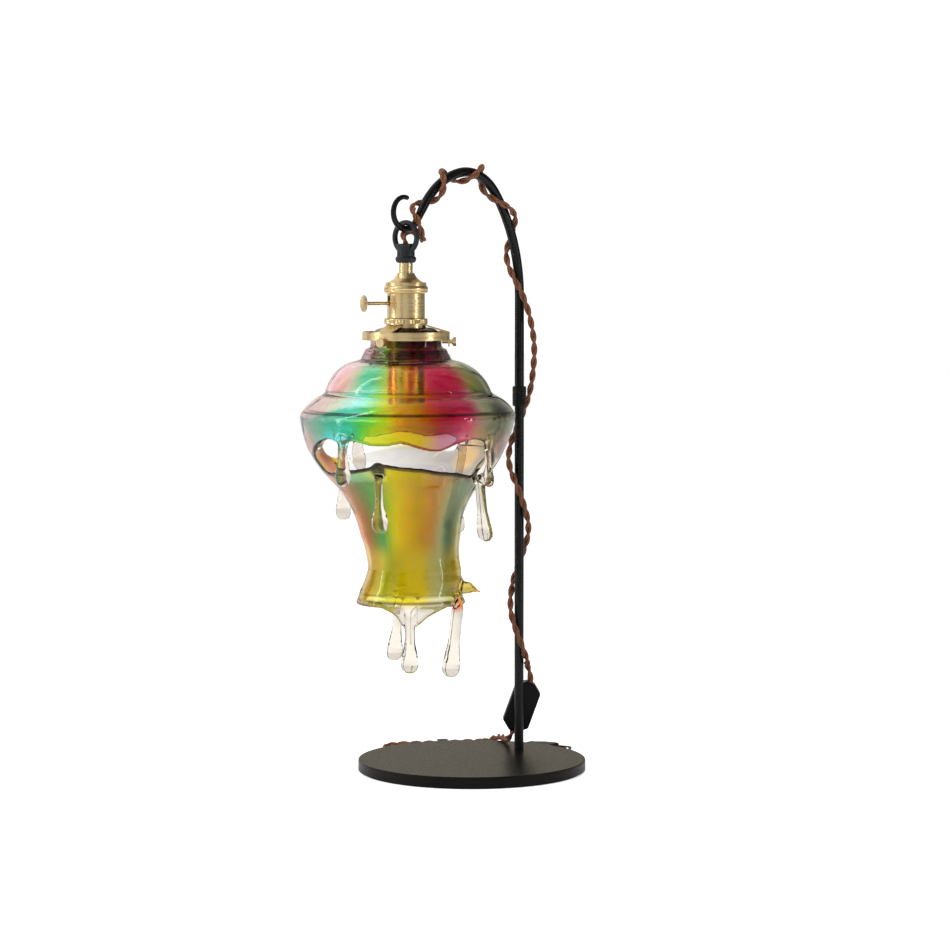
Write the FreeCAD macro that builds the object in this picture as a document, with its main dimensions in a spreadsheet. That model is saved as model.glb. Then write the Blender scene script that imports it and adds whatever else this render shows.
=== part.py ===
import FreeCAD, Part
import math
import os

import Sketcher

# Glass table lamp: a steel crook on a round foot, a melted-glass bell hung from its hook
# and a twisted cord wound round the crook. The foot's underside is z = 0 and its centre the
# origin; the crook stands in the plane y = 0, with its post at +X and its hook at -X.

doc = FreeCAD.newDocument("glass_table_lamp")
sizes = doc.addObject("Spreadsheet::Sheet", "sizes")
sheet_rows = []


def set_sizes(heading, **values):
    # Each driving dimension is one row: its name, its plain number, and what it belongs to.
    for name, number in values.items():
        row = len(sheet_rows) + 1
        sheet_rows.append(name)
        sizes.set(f"A{row}", name)
        sizes.set(f"B{row}", str(number))
        sizes.set(f"C{row}", heading)
        sizes.setAlias(f"B{row}", name)
    doc.recompute()


def number(expression):
    return float(sizes.evalExpression(str(expression)))


def vector(x, y, z):
    return FreeCAD.Vector(x, y, z)


def polar(radius, degrees, z=0.0):
    angle = math.radians(degrees)
    return vector(radius * math.cos(angle), radius * math.sin(angle), z)


parts = {}


def keep(node, shape_object):
    shape_object.Label = node
    parts[node] = shape_object
    return shape_object


def place(shape_object, x="0", y="0", z="0"):
    for axis, expression in zip("xyz", (x, y, z)):
        if str(expression) != "0":
            shape_object.setExpression(f"Placement.Base.{axis}", str(expression))


def lathe(name, outline):
    # One turned piece. The outline's corners are (radius, height), or (radius, height,
    # arc radius, side) where an arc leaves that corner; side +1 bulges left of its travel.
    body = doc.addObject("PartDesign::Body", name)
    sketch = body.newObject("Sketcher::SketchObject", name + "_outline")
    plane = [item for item in body.Origin.OriginFeatures if item.Role == "XZ_Plane"][0]
    sketch.AttachmentSupport = [(plane, "")]
    sketch.MapMode = "FlatFace"
    corners = [vector(number(c[0]), number(c[1]), 0) for c in outline]
    starts = []
    for index, corner in enumerate(outline):
        first = corners[index]
        last = corners[(index + 1) % len(corners)]
        if len(corner) == 2:
            sketch.addGeometry(Part.LineSegment(first, last))
            starts.append((1, 2))
            continue
        chord = last - first
        left = vector(-chord.y, chord.x, 0).normalize()
        radius = number(corner[2])
        rise = radius - math.sqrt(max(radius ** 2 - (chord.Length / 2) ** 2, 0))
        middle = (first + last) / 2 + left * (rise * corner[3])
        # A sketch keeps its arcs anticlockwise, so a clockwise one is drawn from its end.
        ends = [first, last] if corner[3] < 0 else [last, first]
        sketch.addGeometry(Part.Arc(ends[0], middle, ends[1]))
        starts.append((1, 2) if corner[3] < 0 else (2, 1))
    for index, corner in enumerate(outline):
        follower = (index + 1) % len(corners)
        sketch.addConstraint(
            Sketcher.Constraint("Coincident", index, starts[index][1], follower, starts[follower][0])
        )
        start = starts[index][0]
        for kind, axis, expression in (("DistanceX", -2, corner[0]), ("DistanceY", -1, corner[1])):
            if str(expression) == "0":
                sketch.addConstraint(Sketcher.Constraint("PointOnObject", index, start, axis))
                continue
            mark = Sketcher.Constraint(kind, -1, 1, index, start, number(expression))
            sketch.setExpression(f"Constraints[{sketch.addConstraint(mark)}]", str(expression))
        if len(corner) > 2:
            mark = Sketcher.Constraint("Radius", index, number(corner[2]))
            sketch.setExpression(f"Constraints[{sketch.addConstraint(mark)}]", str(corner[2]))
    turned = body.newObject("PartDesign::Revolution", name + "_turned")
    turned.Profile = sketch
    turned.ReferenceAxis = (sketch, ["V_Axis"])
    turned.Angle = 360
    doc.recompute()
    return body


def cylinder(name, radius, height, x="0", y="0", z="0"):
    rod = doc.addObject("Part::Cylinder", name)
    rod.setExpression("Radius", str(radius))
    rod.setExpression("Height", str(height))
    place(rod, x, y, z)
    doc.recompute()
    return rod


def radial_cylinder(name, radius, height, start, degrees, x, z):
    # A rod lying flat and pointing away from the pendant's axis at the given angle.
    rod = doc.addObject("Part::Cylinder", name)
    rod.setExpression("Radius", str(radius))
    rod.setExpression("Height", str(height))
    rod.Placement.Rotation = FreeCAD.Rotation(vector(0, 0, 1), polar(1, degrees))
    cosine = math.cos(math.radians(degrees))
    sine = math.sin(math.radians(degrees))
    place(rod, f"{x} + ({start}) * {cosine:.12f}", f"({start}) * {sine:.12f}", z)
    doc.recompute()
    return rod


def cut(name, base, *tools):
    result = base
    for index, tool in enumerate(tools):
        step = doc.addObject("Part::Cut", f"{name}_cut_{index}")
        step.Base = result
        step.Tool = tool
        result = step
    doc.recompute()
    return result


def fuse(name, *pieces):
    joined = doc.addObject("Part::MultiFuse", name + "_joined")
    joined.Shapes = list(pieces)
    doc.recompute()
    return joined


def feature(name, shape):
    made = doc.addObject("Part::Feature", name)
    made.Shape = shape
    return made


# Foot: a heavy steel disc with a soft pad glued under it.
foot_width = 228.0
set_sizes("foot", foot_width=foot_width, pad_thick=1.6, pad_inset=3.0, plate_thick=10.4, plate_round=1.0)
post_offset = 72.5
rod_width = 9.5
joint_height = 373.0
set_sizes("post", post_offset=post_offset, rod_width=rod_width, joint_height=joint_height,
          fit_gap=0.05)
set_sizes(
    "foot screw", screw_width=6.0, screw_reach=12.0, screw_head_width=11.0, screw_head_thick=3.4,
    screw_key=4.0, washer_width=11.6, washer_thick=0.8, head_clearance=0.4,
)

plate_top = "(sizes.pad_thick + sizes.plate_thick)"
plate_radius = "sizes.foot_width / 2"
keep("base_pad", cylinder("pad", f"{plate_radius} - sizes.pad_inset", "sizes.pad_thick"))

plate_blank = lathe("plate_blank", [
    ("0", "sizes.pad_thick"),
    (plate_radius, "sizes.pad_thick"),
    (plate_radius, f"{plate_top} - sizes.plate_round", "sizes.plate_round", -1),
    (f"{plate_radius} - sizes.plate_round", plate_top),
    ("0", plate_top),
])
sink_depth = "(sizes.head_clearance + sizes.screw_head_thick + sizes.washer_thick)"
sink_top = f"(sizes.pad_thick + {sink_depth})"
sink = cylinder(
    "screw_sink", "sizes.washer_width / 2 + sizes.head_clearance", f"{sink_depth} + 1",
    "sizes.post_offset", "0", "sizes.pad_thick - 1",
)
screw_way = cylinder(
    "screw_way", "sizes.screw_width / 2 + sizes.head_clearance / 2", "sizes.plate_thick + 2",
    "sizes.post_offset", "0", "sizes.pad_thick",
)
keep("base_plate", cut("plate", plate_blank, sink, screw_way))

head_bottom = f"(sizes.pad_thick + sizes.head_clearance)"
head_top = f"({head_bottom} + sizes.screw_head_thick)"
screw_blank = lathe("screw_blank", [
    ("0", head_bottom),
    ("sizes.screw_head_width / 2", head_bottom),
    ("sizes.screw_head_width / 2", head_top),
    ("sizes.screw_width / 2", head_top),
    ("sizes.screw_width / 2", f"{plate_top} + sizes.screw_reach"),
    ("0", f"{plate_top} + sizes.screw_reach"),
])
place(screw_blank, "sizes.post_offset")
key_socket = doc.addObject("Part::Prism", "key_socket")
key_socket.Polygon = 6
key_socket.setExpression("Circumradius", "sizes.screw_key / sqrt(3)")
key_socket.setExpression("Height", "sizes.screw_head_thick * 0.6 + 1")
place(key_socket, "sizes.post_offset", "0", f"{head_bottom} - 1")
keep("post_screw", cut("screw", screw_blank, key_socket))
washer = cylinder("washer_disc", "sizes.washer_width / 2", "sizes.washer_thick",
                  "sizes.post_offset", "0", head_top)
washer_way = cylinder("washer_way", "sizes.screw_width / 2 + sizes.head_clearance / 2",
                      "sizes.washer_thick + 2", "sizes.post_offset", "0", f"{head_top} - 1")
keep("post_washer", cut("washer", washer, washer_way))

# Post: a black steel rod, tapped at both ends, with a ribbed sleeve over its joint.
set_sizes("rod joint", stud_width=6.0, stud_length=22.0, tap_spare=1.0)
set_sizes("ribbed sleeve", sleeve_width=14.3, sleeve_length=20.0, sleeve_land=1.0,
          rib_count=10, rib_depth=0.5)

tap_radius = "(sizes.stud_width / 2 + sizes.fit_gap)"
post_rod = cylinder("post_rod", "sizes.rod_width / 2", f"sizes.joint_height - {plate_top}",
                    "sizes.post_offset", "0", plate_top)
foot_tap = cylinder("foot_tap", "sizes.screw_width / 2 + sizes.fit_gap",
                    "sizes.screw_reach + sizes.tap_spare + 1",
                    "sizes.post_offset", "0", f"{plate_top} - 1")
top_tap = cylinder("top_tap", tap_radius, "sizes.stud_length / 2 + sizes.tap_spare + 1",
                   "sizes.post_offset", "0",
                   "sizes.joint_height - sizes.stud_length / 2 - sizes.tap_spare")
keep("lower_post", cut("post", post_rod, foot_tap, top_tap))
keep("coupling_stud", cylinder("stud", "sizes.stud_width / 2", "sizes.stud_length",
                               "sizes.post_offset", "0",
                               "sizes.joint_height - sizes.stud_length / 2"))

sleeve_bottom = "(sizes.joint_height - sizes.sleeve_length / 2)"
sleeve_bore = "(sizes.rod_width / 2 + sizes.fit_gap)"
rib_root = "(sizes.sleeve_width / 2 - sizes.rib_depth)"
rib_pitch = "((sizes.sleeve_length - 2 * sizes.sleeve_land) / sizes.rib_count)"
rib_curve = f"(({rib_pitch} / 2) ^ 2 + sizes.rib_depth ^ 2) / (2 * sizes.rib_depth)"
sleeve_outline = [(sleeve_bore, sleeve_bottom), (rib_root, sleeve_bottom)]
for rib in range(int(number("sizes.rib_count"))):
    rib_start = f"{sleeve_bottom} + sizes.sleeve_land + {rib} * {rib_pitch}"
    sleeve_outline.append((rib_root, rib_start, rib_curve, -1))
sleeve_top = f"({sleeve_bottom} + sizes.sleeve_length)"
sleeve_outline += [
    (rib_root, f"{sleeve_top} - sizes.sleeve_land"),
    (rib_root, sleeve_top),
    (sleeve_bore, sleeve_top),
]
sleeve = lathe("sleeve", sleeve_outline)
place(sleeve, "sizes.post_offset")
keep("coupling_collar", sleeve)

# Crook: one steel bar forged to a taper and bent in flat arcs, ending in a round hook.
arm_reach = 168.7
swing_height = 541.1
rise_radius = 163.0
set_sizes(
    "crook", arm_reach=arm_reach, swing_height=swing_height, rise_radius=rise_radius, rise_turn=39.5,
    crown_radius=56.0, crown_turn=61.0, fall_radius=83.0, fall_turn=44.0,
    hook_radius=19.0, hook_turn=92.5, curl_radius=15.0, curl_turn=158.0,
)
set_sizes("crook taper", shoulder_width=9.0, hook_width=5.8, tip_width=4.6)


def crook_path():
    # The straights between the arcs are worked out so that the hook's lowest point comes at
    # the stated reach and height. Headings run from straight up; u is away from the post.
    turns = [number(f"sizes.{name}_turn") for name in ("rise", "crown", "fall")]
    radii = [number(f"sizes.{name}_radius") for name in ("rise", "crown", "fall")]
    heading = math.pi / 2
    run = FreeCAD.Vector(0, 0, 0)
    arcs = []
    for turn, radius in zip(turns, radii):
        centre = run + vector(math.sin(heading), 0, -math.cos(heading)) * radius
        points = []
        for share in (0.5, 1.0):
            angle = heading - math.radians(turn) * share
            points.append(centre + vector(-math.sin(angle), 0, math.cos(angle)) * radius)
        arcs.append((run, points[0], points[1]))
        heading -= math.radians(turn)
        run = points[1]
    hook_radius = number("sizes.hook_radius")
    fall = -heading
    low_across = hook_radius * math.sin(fall)
    low_down = hook_radius * (1 - math.cos(fall))
    slant = (number("sizes.arm_reach") - run.x - low_across) / math.cos(fall)
    run_end = run + vector(math.cos(fall), 0, -math.sin(fall)) * slant
    lowest = run_end + vector(low_across, 0, -low_down)
    lift = number("sizes.swing_height") - lowest.z
    arcs = [tuple(point + vector(0, 0, lift) for point in arc) for arc in arcs]
    start = run_end + vector(0, 0, lift)
    for name in ("hook", "curl"):
        radius = number(f"sizes.{name}_radius")
        turn = math.radians(number(f"sizes.{name}_turn"))
        centre = start + vector(-math.sin(heading), 0, math.cos(heading)) * radius
        points = []
        for share in (0.5, 1.0):
            angle = heading + turn * share
            points.append(centre + vector(math.sin(angle), 0, -math.cos(angle)) * radius)
        arcs.append((start, points[0], points[1]))
        heading += turn
        start = points[1]
    return arcs


def crook_shape():
    post_x = number("sizes.post_offset")
    arcs = [
        [vector(post_x - point.x, 0, point.z) for point in arc]
        for arc in crook_path()
    ]
    joint = vector(post_x, 0, number("sizes.joint_height"))
    edges = [Part.LineSegment(joint, arcs[0][0]).toShape()]
    ends = [arcs[0][0]]
    for index, arc in enumerate(arcs):
        if index == 3:
            edges.append(Part.LineSegment(ends[-1], arc[0]).toShape())
            ends.append(arc[0])
        edges.append(Part.Arc(*arc).toShape())
        ends.append(arc[2])
    full = number("sizes.rod_width") / 2
    shoulder = number("sizes.shoulder_width") / 2
    hook = number("sizes.hook_width") / 2
    tip = number("sizes.tip_width") / 2
    radii = [full, full, full, full, shoulder, (shoulder + hook) / 2, hook, tip]
    points = [joint] + ends
    pieces = []
    for index, edge in enumerate(edges):
        low, high = edge.ParameterRange
        rings = []
        for at, corner in ((low, index), (high, index + 1)):
            ring = Part.Circle(points[corner], edge.tangentAt(at), radii[corner])
            rings.append(Part.Wire(ring.toShape()))
        pieces.append(Part.Wire(edge).makePipeShell(rings, True, False))
    pieces.append(Part.makeSphere(tip, points[-1]))
    bar = pieces[0].multiFuse(pieces[1:])
    depth = number("sizes.stud_length / 2 + sizes.tap_spare")
    return bar.cut(Part.makeCylinder(number(tap_radius), depth + 1, joint - vector(0, 0, 1)))


keep("arm", feature("crook", crook_shape()))

# Pendant heights, from the hook down. The ring hangs on the hook with a small gap, so that
# the swing's axis is the middle of the hook's wire.
set_sizes(
    "loop cap", hang_gap=0.6, ring_opening=23.3, ring_wire=5.3, ring_to_cap=5.9,
    cap_height=18.6, cap_width=18.6, cap_waist=17.4, cap_foot=19.8, cap_lip=16.0,
)
set_sizes("cord", cord_width=6.6, cord_gap=0.35)
set_sizes(
    "neck and dome", neck_width=13.3, neck_show=9.8, neck_spigot=10.0, neck_bore=7.6,
    cap_socket=7.0, dome_height=11.7, dome_width=33.0, dome_flange=39.6, dome_step=2.5,
    sheet_wall=1.0,
)
set_sizes("socket", bead_width=42.8, bead_height=7.8, body_width=36.8, body_height=24.4,
          knurl_width=42.0, knurl_height=5.7, hub_height=7.2, thread_width=34.6,
          thread_below=13.8, skirt_length=67.8)

pendant_x = "(sizes.post_offset - sizes.arm_reach)"
cord_radius = "(sizes.cord_width / 2)"
ring_radius = "(sizes.ring_opening / 2 + sizes.ring_wire / 2)"
ring_middle = "(sizes.swing_height + sizes.hook_width / 2 + sizes.hang_gap - sizes.ring_opening / 2)"
cap_top = f"({ring_middle} - sizes.ring_to_cap)"
cap_bottom = f"({cap_top} - sizes.cap_height)"
dome_top = f"({cap_bottom} - sizes.neck_show)"
dome_bottom = f"({dome_top} - sizes.dome_height)"
bead_bottom = f"({dome_bottom} - sizes.bead_height)"
body_bottom = f"({bead_bottom} - sizes.body_height)"
knurl_bottom = f"({body_bottom} - sizes.knurl_height)"
hub_bottom = f"({knurl_bottom} - sizes.hub_height)"
skirt_bottom = f"({hub_bottom} - sizes.skirt_length)"

# Loop cap: a cast iron cup with a ring on top; the cord leaves it inside the ring.
spigot_radius = "(sizes.neck_spigot / 2)"
socket_top = f"({cap_bottom} + sizes.cap_socket)"
cup = lathe("cup", [
    ("0", cap_bottom),
    ("sizes.cap_lip / 2", cap_bottom, "3", -1),
    ("sizes.cap_foot / 2", f"{cap_bottom} + 2.6", "2.6", -1),
    ("sizes.cap_waist / 2", f"{cap_bottom} + 6.2"),
    ("sizes.cap_waist / 2", f"{cap_bottom} + 8.6", "30", 1),
    ("sizes.cap_width / 2", f"{cap_top} - 0.8", "0.8", -1),
    ("sizes.cap_width / 2 - 0.8", cap_top),
    ("0", cap_top),
])
place(cup, pendant_x)
bail = doc.addObject("Part::Torus", "bail")
bail.setExpression("Radius1", ring_radius)
bail.setExpression("Radius2", "sizes.ring_wire / 2")
bail.Placement.Rotation = FreeCAD.Rotation(vector(0, 1, 0), 90)
place(bail, pendant_x, "0", ring_middle)
spigot_way = cylinder("spigot_way", f"{spigot_radius} + sizes.fit_gap", "sizes.cap_socket + 1",
                      pendant_x, "0", f"{cap_bottom} - 1")
cord_way = cylinder("cord_way", f"{cord_radius} + sizes.cord_gap", "sizes.cap_height + 1",
                    pendant_x, "0", cap_bottom)
keep("loop_cap", cut("loop", fuse("loop", cup, bail), spigot_way, cord_way))

# Neck: a brass tube that shows between the loop cap and the dome, threaded at both ends.
neck = lathe("neck", [
    ("sizes.neck_bore / 2", f"{dome_top} - 4"),
    (spigot_radius, f"{dome_top} - 4"),
    (spigot_radius, dome_top),
    ("sizes.neck_width / 2", dome_top),
    ("sizes.neck_width / 2", cap_bottom),
    (spigot_radius, cap_bottom),
    (spigot_radius, f"{socket_top} - 2"),
    ("sizes.neck_bore / 2", f"{socket_top} - 2"),
])
place(neck, pendant_x)
keep("neck_tube", neck)
grip_top = f"({socket_top} - sizes.hang_gap)"
grip = lathe("grip", [
    (f"{cord_radius} + sizes.fit_gap", f"{socket_top} - 2"),
    (spigot_radius, f"{socket_top} - 2"),
    (spigot_radius, grip_top),
    (f"{cord_radius} + sizes.fit_gap", grip_top),
])
place(grip, pendant_x)
keep("cord_grip", grip)

# Dome: spun brass, with a flat flange that seats on the beaded ring.
wall = "sizes.sheet_wall"
flange_top = f"({dome_bottom} + sizes.dome_step)"
dome = lathe("dome", [
    (f"{spigot_radius} + sizes.fit_gap", f"{dome_top} - 1.4"),
    (f"{spigot_radius} + sizes.fit_gap", dome_top),
    ("sizes.neck_width / 2 + 1.6", dome_top, "15", -1),
    ("sizes.dome_width / 2", f"{flange_top} + 0.6"),
    ("sizes.dome_width / 2 + 1", flange_top),
    ("sizes.dome_flange / 2", flange_top),
    ("sizes.dome_flange / 2", dome_bottom),
    (f"sizes.dome_flange / 2 - {wall}", dome_bottom),
    (f"sizes.dome_flange / 2 - {wall}", f"{flange_top} - {wall}"),
    (f"sizes.dome_width / 2 - {wall}", f"{flange_top} - {wall}"),
    (f"sizes.dome_width / 2 - {wall}", f"{flange_top} + 0.4", "15", 1),
    ("sizes.neck_width / 2 + 1", f"{dome_top} - 1.4"),
])
place(dome, pendant_x)
set_sizes("dome screw", dome_screw_head=2.3, dome_screw_proud=1.4, dome_screw_width=1.5,
          dome_screw_reach=2.0)
dome_screw_angle = 251.6
screw_level = f"({dome_bottom} + sizes.dome_step / 2)"
flange_radius = "(sizes.dome_flange / 2)"
dome_tap = radial_cylinder("dome_tap", "sizes.dome_screw_width / 2 + sizes.fit_gap",
                           "sizes.dome_screw_reach + 1",
                           f"{flange_radius} - sizes.dome_screw_reach",
                           dome_screw_angle, pendant_x, screw_level)
keep("socket_cap", cut("socket_cap", dome, dome_tap))
dome_shank = radial_cylinder("dome_shank", "sizes.dome_screw_width / 2",
                             "sizes.dome_screw_reach + 0.5",
                             f"{flange_radius} - sizes.dome_screw_reach",
                             dome_screw_angle, pendant_x, screw_level)
dome_head = radial_cylinder("dome_head", "sizes.dome_screw_head / 2", "sizes.dome_screw_proud",
                            f"{flange_radius} + sizes.fit_gap",
                            dome_screw_angle, pendant_x, screw_level)
keep("cap_screw", fuse("cap_screw", dome_shank, dome_head))

# Beaded ring, socket body and its knurled lock ring: turned and spun brass.
body_radius = "(sizes.body_width / 2)"
bead_bore = f"({body_radius} + sizes.fit_gap)"
bead = lathe("bead", [
    (bead_bore, bead_bottom),
    ("sizes.bead_width / 2 - 1.6", bead_bottom, "2", -1),
    ("sizes.bead_width / 2 - 0.4", f"{bead_bottom} + 2.6", "3", -1),
    ("sizes.bead_width / 2 - 0.4", f"{bead_bottom} + 6.2", "1.4", 1),
    ("sizes.dome_flange / 2 + 0.4", f"{dome_bottom} - 0.05"),
    (bead_bore, f"{dome_bottom} - 0.05"),
])
place(bead, pendant_x)
keep("socket_collar", bead)

thread_radius = "(sizes.thread_width / 2)"
liner_radius = f"({thread_radius} - {wall})"
thread_bottom = f"({body_bottom} - sizes.thread_below - sizes.hub_height)"
body_top = f"({dome_bottom} - 1)"
body_blank = lathe("body_blank", [
    (liner_radius, thread_bottom),
    (thread_radius, thread_bottom),
    (thread_radius, body_bottom),
    (body_radius, f"{body_bottom} + 0.6"),
    (body_radius, body_top),
    (f"{body_radius} - {wall}", body_top),
    (f"{body_radius} - {wall}", f"{body_bottom} + 2"),
    (liner_radius, f"{body_bottom} + 2"),
])
place(body_blank, pendant_x)
set_sizes("key switch", key_drop=9.7, key_shaft=3.5, key_run=44.0, key_inner=6.0,
          key_head=16.4, key_head_thick=2.2, key_slot_width=4.6, key_slot_height=9.6,
          turn_gap=0.05)
key_angle = 158.6
key_level = f"({bead_bottom} - sizes.key_drop)"
key_slot = doc.addObject("Part::Box", "key_slot")
key_slot.setExpression("Length", "sizes.body_width / 2")
key_slot.setExpression("Width", "sizes.key_slot_width")
key_slot.setExpression("Height", "sizes.key_slot_height")
key_slot.Placement.Rotation = FreeCAD.Rotation(vector(0, 0, 1), key_angle)
slot_side = polar(1, key_angle - 90)
slot_start = polar(1, key_angle)
place(
    key_slot,
    f"{pendant_x} + sizes.key_slot_width / 2 * {slot_side.x:.12f}"
    f" + sizes.body_width * 0.35 * {slot_start.x:.12f}",
    f"sizes.key_slot_width / 2 * {slot_side.y:.12f} + sizes.body_width * 0.35 * {slot_start.y:.12f}",
    f"{key_level} - sizes.key_slot_width / 2",
)
keep("socket_body", cut("socket_body", body_blank, key_slot))

set_sizes("lock ring knurl", knurl_count=40, knurl_depth=0.5)


def knurled_ring():
    # The lock ring has shallow flutes all round; each is one small round groove.
    outer = number("sizes.knurl_width") / 2
    low = number(knurl_bottom)
    high = number(f"{body_bottom} - sizes.fit_gap")
    bore = number(thread_radius) + number("sizes.fit_gap")
    ring = Part.makeCylinder(outer, high - low, vector(0, 0, low))
    ring = ring.cut(Part.makeCylinder(bore, high - low + 2, vector(0, 0, low - 1)))
    count = int(number("sizes.knurl_count"))
    depth = number("sizes.knurl_depth")
    points = []
    for step in range(2 * count):
        radius = outer if step % 2 == 0 else outer - depth
        points.append(polar(radius, step * 180 / count, low + 1))
    band = Part.Face(Part.makePolygon(points + [points[0]])).extrude(vector(0, 0, high - low - 2))
    shell = Part.makeCylinder(outer + 1, high - low - 2, vector(0, 0, low + 1))
    ring = ring.cut(shell.cut(band))
    ring.translate(vector(number(pendant_x), 0, 0))
    return ring


keep("lower_collar", feature("knurled", knurled_ring()))

# Skirt: the brass sleeve below the gallery that carries the lampholder's screw shell.
set_sizes("skirt", skirt_width=36.2, skirt_wall=0.75)
skirt_radius = "(sizes.skirt_width / 2)"
skirt_bore = f"({skirt_radius} - sizes.skirt_wall)"
set_sizes("clamp ring", clamp_width=46.0, clamp_thick=3.4, clamp_drop=0.9)
clamp_top = f"({hub_bottom} - sizes.clamp_drop)"
clamp_bottom = f"({clamp_top} - sizes.clamp_thick)"
skirt = lathe("skirt", [
    (skirt_bore, skirt_bottom, "sizes.skirt_wall * 0.6", -1),
    (skirt_radius, skirt_bottom),
    (skirt_radius, f"{clamp_bottom} - sizes.fit_gap"),
    (skirt_bore, f"{clamp_bottom} - sizes.fit_gap"),
])
place(skirt, pendant_x)
keep("socket_skirt", skirt)
clamp = lathe("clamp", [
    (f"{thread_radius} + sizes.fit_gap", clamp_bottom),
    ("sizes.clamp_width / 2 - 1", clamp_bottom),
    ("sizes.clamp_width / 2", f"{clamp_bottom} + 1"),
    ("sizes.clamp_width / 2", clamp_top),
    (f"{thread_radius} + sizes.fit_gap", clamp_top),
])
place(clamp, pendant_x)
keep("shade_clamp_ring", clamp)

# Lampholder inside the skirt: a ceramic insulator, a screw shell and a centre contact.
set_sizes("lampholder", shell_bore=26.2, shell_wall=0.5, shell_length=21.0, shell_recess=2.5,
          ceramic_floor=5.0, contact_width=8.0, contact_thick=0.8, contact_recess=2.2)
shell_radius = "(sizes.shell_bore / 2 + sizes.shell_wall)"
shell_bottom = f"({skirt_bottom} + sizes.shell_recess)"
shell_top = f"({shell_bottom} + sizes.shell_length)"
ceramic_top = f"({shell_top} + sizes.ceramic_floor)"
ceramic_radius = f"({skirt_bore} - sizes.fit_gap)"
ceramic = lathe("ceramic", [
    (f"{shell_radius} + sizes.fit_gap", f"{skirt_bottom} + 1"),
    (ceramic_radius, f"{skirt_bottom} + 1"),
    (ceramic_radius, ceramic_top),
    ("0", ceramic_top),
    ("0", f"{shell_top} + sizes.contact_recess"),
    ("sizes.contact_width / 2 + 1", f"{shell_top} + sizes.contact_recess"),
    ("sizes.contact_width / 2 + 1", f"{shell_top} + sizes.fit_gap"),
    (f"{shell_radius} + sizes.fit_gap", f"{shell_top} + sizes.fit_gap"),
])
place(ceramic, pendant_x)
keep("socket_insulator", ceramic)
screw_shell = lathe("shell", [
    ("sizes.shell_bore / 2", shell_bottom),
    (shell_radius, shell_bottom),
    (shell_radius, f"{shell_top} - 2.5"),
    ("sizes.shell_bore / 2 - 2.5", shell_top),
    ("sizes.shell_bore / 2 - 3", shell_top),
    ("sizes.shell_bore / 2 - 3", f"{shell_top} - sizes.shell_wall"),
    ("sizes.shell_bore / 2", f"{shell_top} - 2.5"),
])
place(screw_shell, pendant_x)
keep("screw_shell", screw_shell)
contact_top = f"({shell_top} + sizes.contact_thick / 2)"
contact = lathe("contact", [
    ("0", f"{contact_top} - sizes.contact_thick"),
    ("sizes.contact_width / 2", f"{contact_top} - sizes.contact_thick"),
    ("sizes.contact_width / 2", contact_top),
    ("1.6", contact_top),
    ("1.6", f"{shell_top} + sizes.contact_recess - sizes.fit_gap"),
    ("0", f"{shell_top} + sizes.contact_recess - sizes.fit_gap"),
])
place(contact, pendant_x)
keep("centre_contact", contact)

# Switch block: a moulded block in the socket body, with the key's shaft through its bore.
set_sizes("switch block", block_height=22.0, block_gap=0.3)
block_radius = f"({body_radius} - {wall} - sizes.block_gap)"
block_bottom = f"({body_bottom} + 2 + sizes.fit_gap)"
block = cylinder("block", block_radius, "sizes.block_height", pendant_x, "0", block_bottom)
shaft_start = "sizes.key_inner"
shaft_way = radial_cylinder("shaft_way", "sizes.key_shaft / 2 + sizes.turn_gap",
                            f"{block_radius} + 2", f"{shaft_start} - 0.3",
                            key_angle, pendant_x, key_level)
keep("switch_block", cut("switch_block", block, shaft_way))
leads = []
for side in (-1, 1):
    leads.append(cylinder(f"lead_{side + 1}", "1.1", f"{block_bottom} - {ceramic_top}",
                          pendant_x, f"{side} * 5", ceramic_top))
keep("socket_leads", feature("leads", Part.makeCompound([lead.Shape for lead in leads])))

# Key: a round-headed brass key on a long shaft, turned to switch the lamp.
key_end = f"({shaft_start} + sizes.key_run - sizes.key_inner)"
key_rod = radial_cylinder("key_rod", "sizes.key_shaft / 2",
                          f"sizes.key_run - {shaft_start}", shaft_start,
                          key_angle, pendant_x, key_level)
key_crown = "(sizes.key_head_thick * 0.3)"
key_curve = f"((sizes.key_head / 2) ^ 2 + {key_crown} ^ 2) / (2 * {key_crown})"
key_disc = lathe("key_disc", [
    ("0", "0"),
    ("sizes.key_shaft", "0"),
    ("sizes.key_head / 2", "sizes.key_head_thick * 0.45"),
    ("sizes.key_head / 2", f"sizes.key_head_thick - {key_crown}", key_curve, -1),
    ("0", "sizes.key_head_thick"),
])
key_disc.Placement.Rotation = FreeCAD.Rotation(vector(0, 0, 1), polar(1, key_angle))
key_way = polar(1, key_angle)
place(key_disc, f"{pendant_x} + (sizes.key_run - 0.2) * {key_way.x:.12f}",
      f"(sizes.key_run - 0.2) * {key_way.y:.12f}", key_level)
keep("key", fuse("key", key_rod, key_disc))

# Gallery: a stamped brass spider of three sloping arms, an outer ring and three screw lugs.
set_sizes("gallery", gallery_width=85.0, gallery_height=8.0, gallery_wall=1.5, hub_width=38.6,
          arm_width=17.0, arm_thick=1.1, lug_width=8.0, lug_drop=6.4, gallery_drop=0.0)
set_sizes("thumb screws", thumb_width=3.8, thumb_head=9.0, thumb_head_thick=3.0,
          thumb_drop=9.6, thumb_space=3.2, tip_gap=0.35)
thumb_angles = (191.6, 311.6, 71.6)
gallery_radius = "(sizes.gallery_width / 2)"
thumb_level = f"({hub_bottom} - sizes.thumb_drop)"


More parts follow.
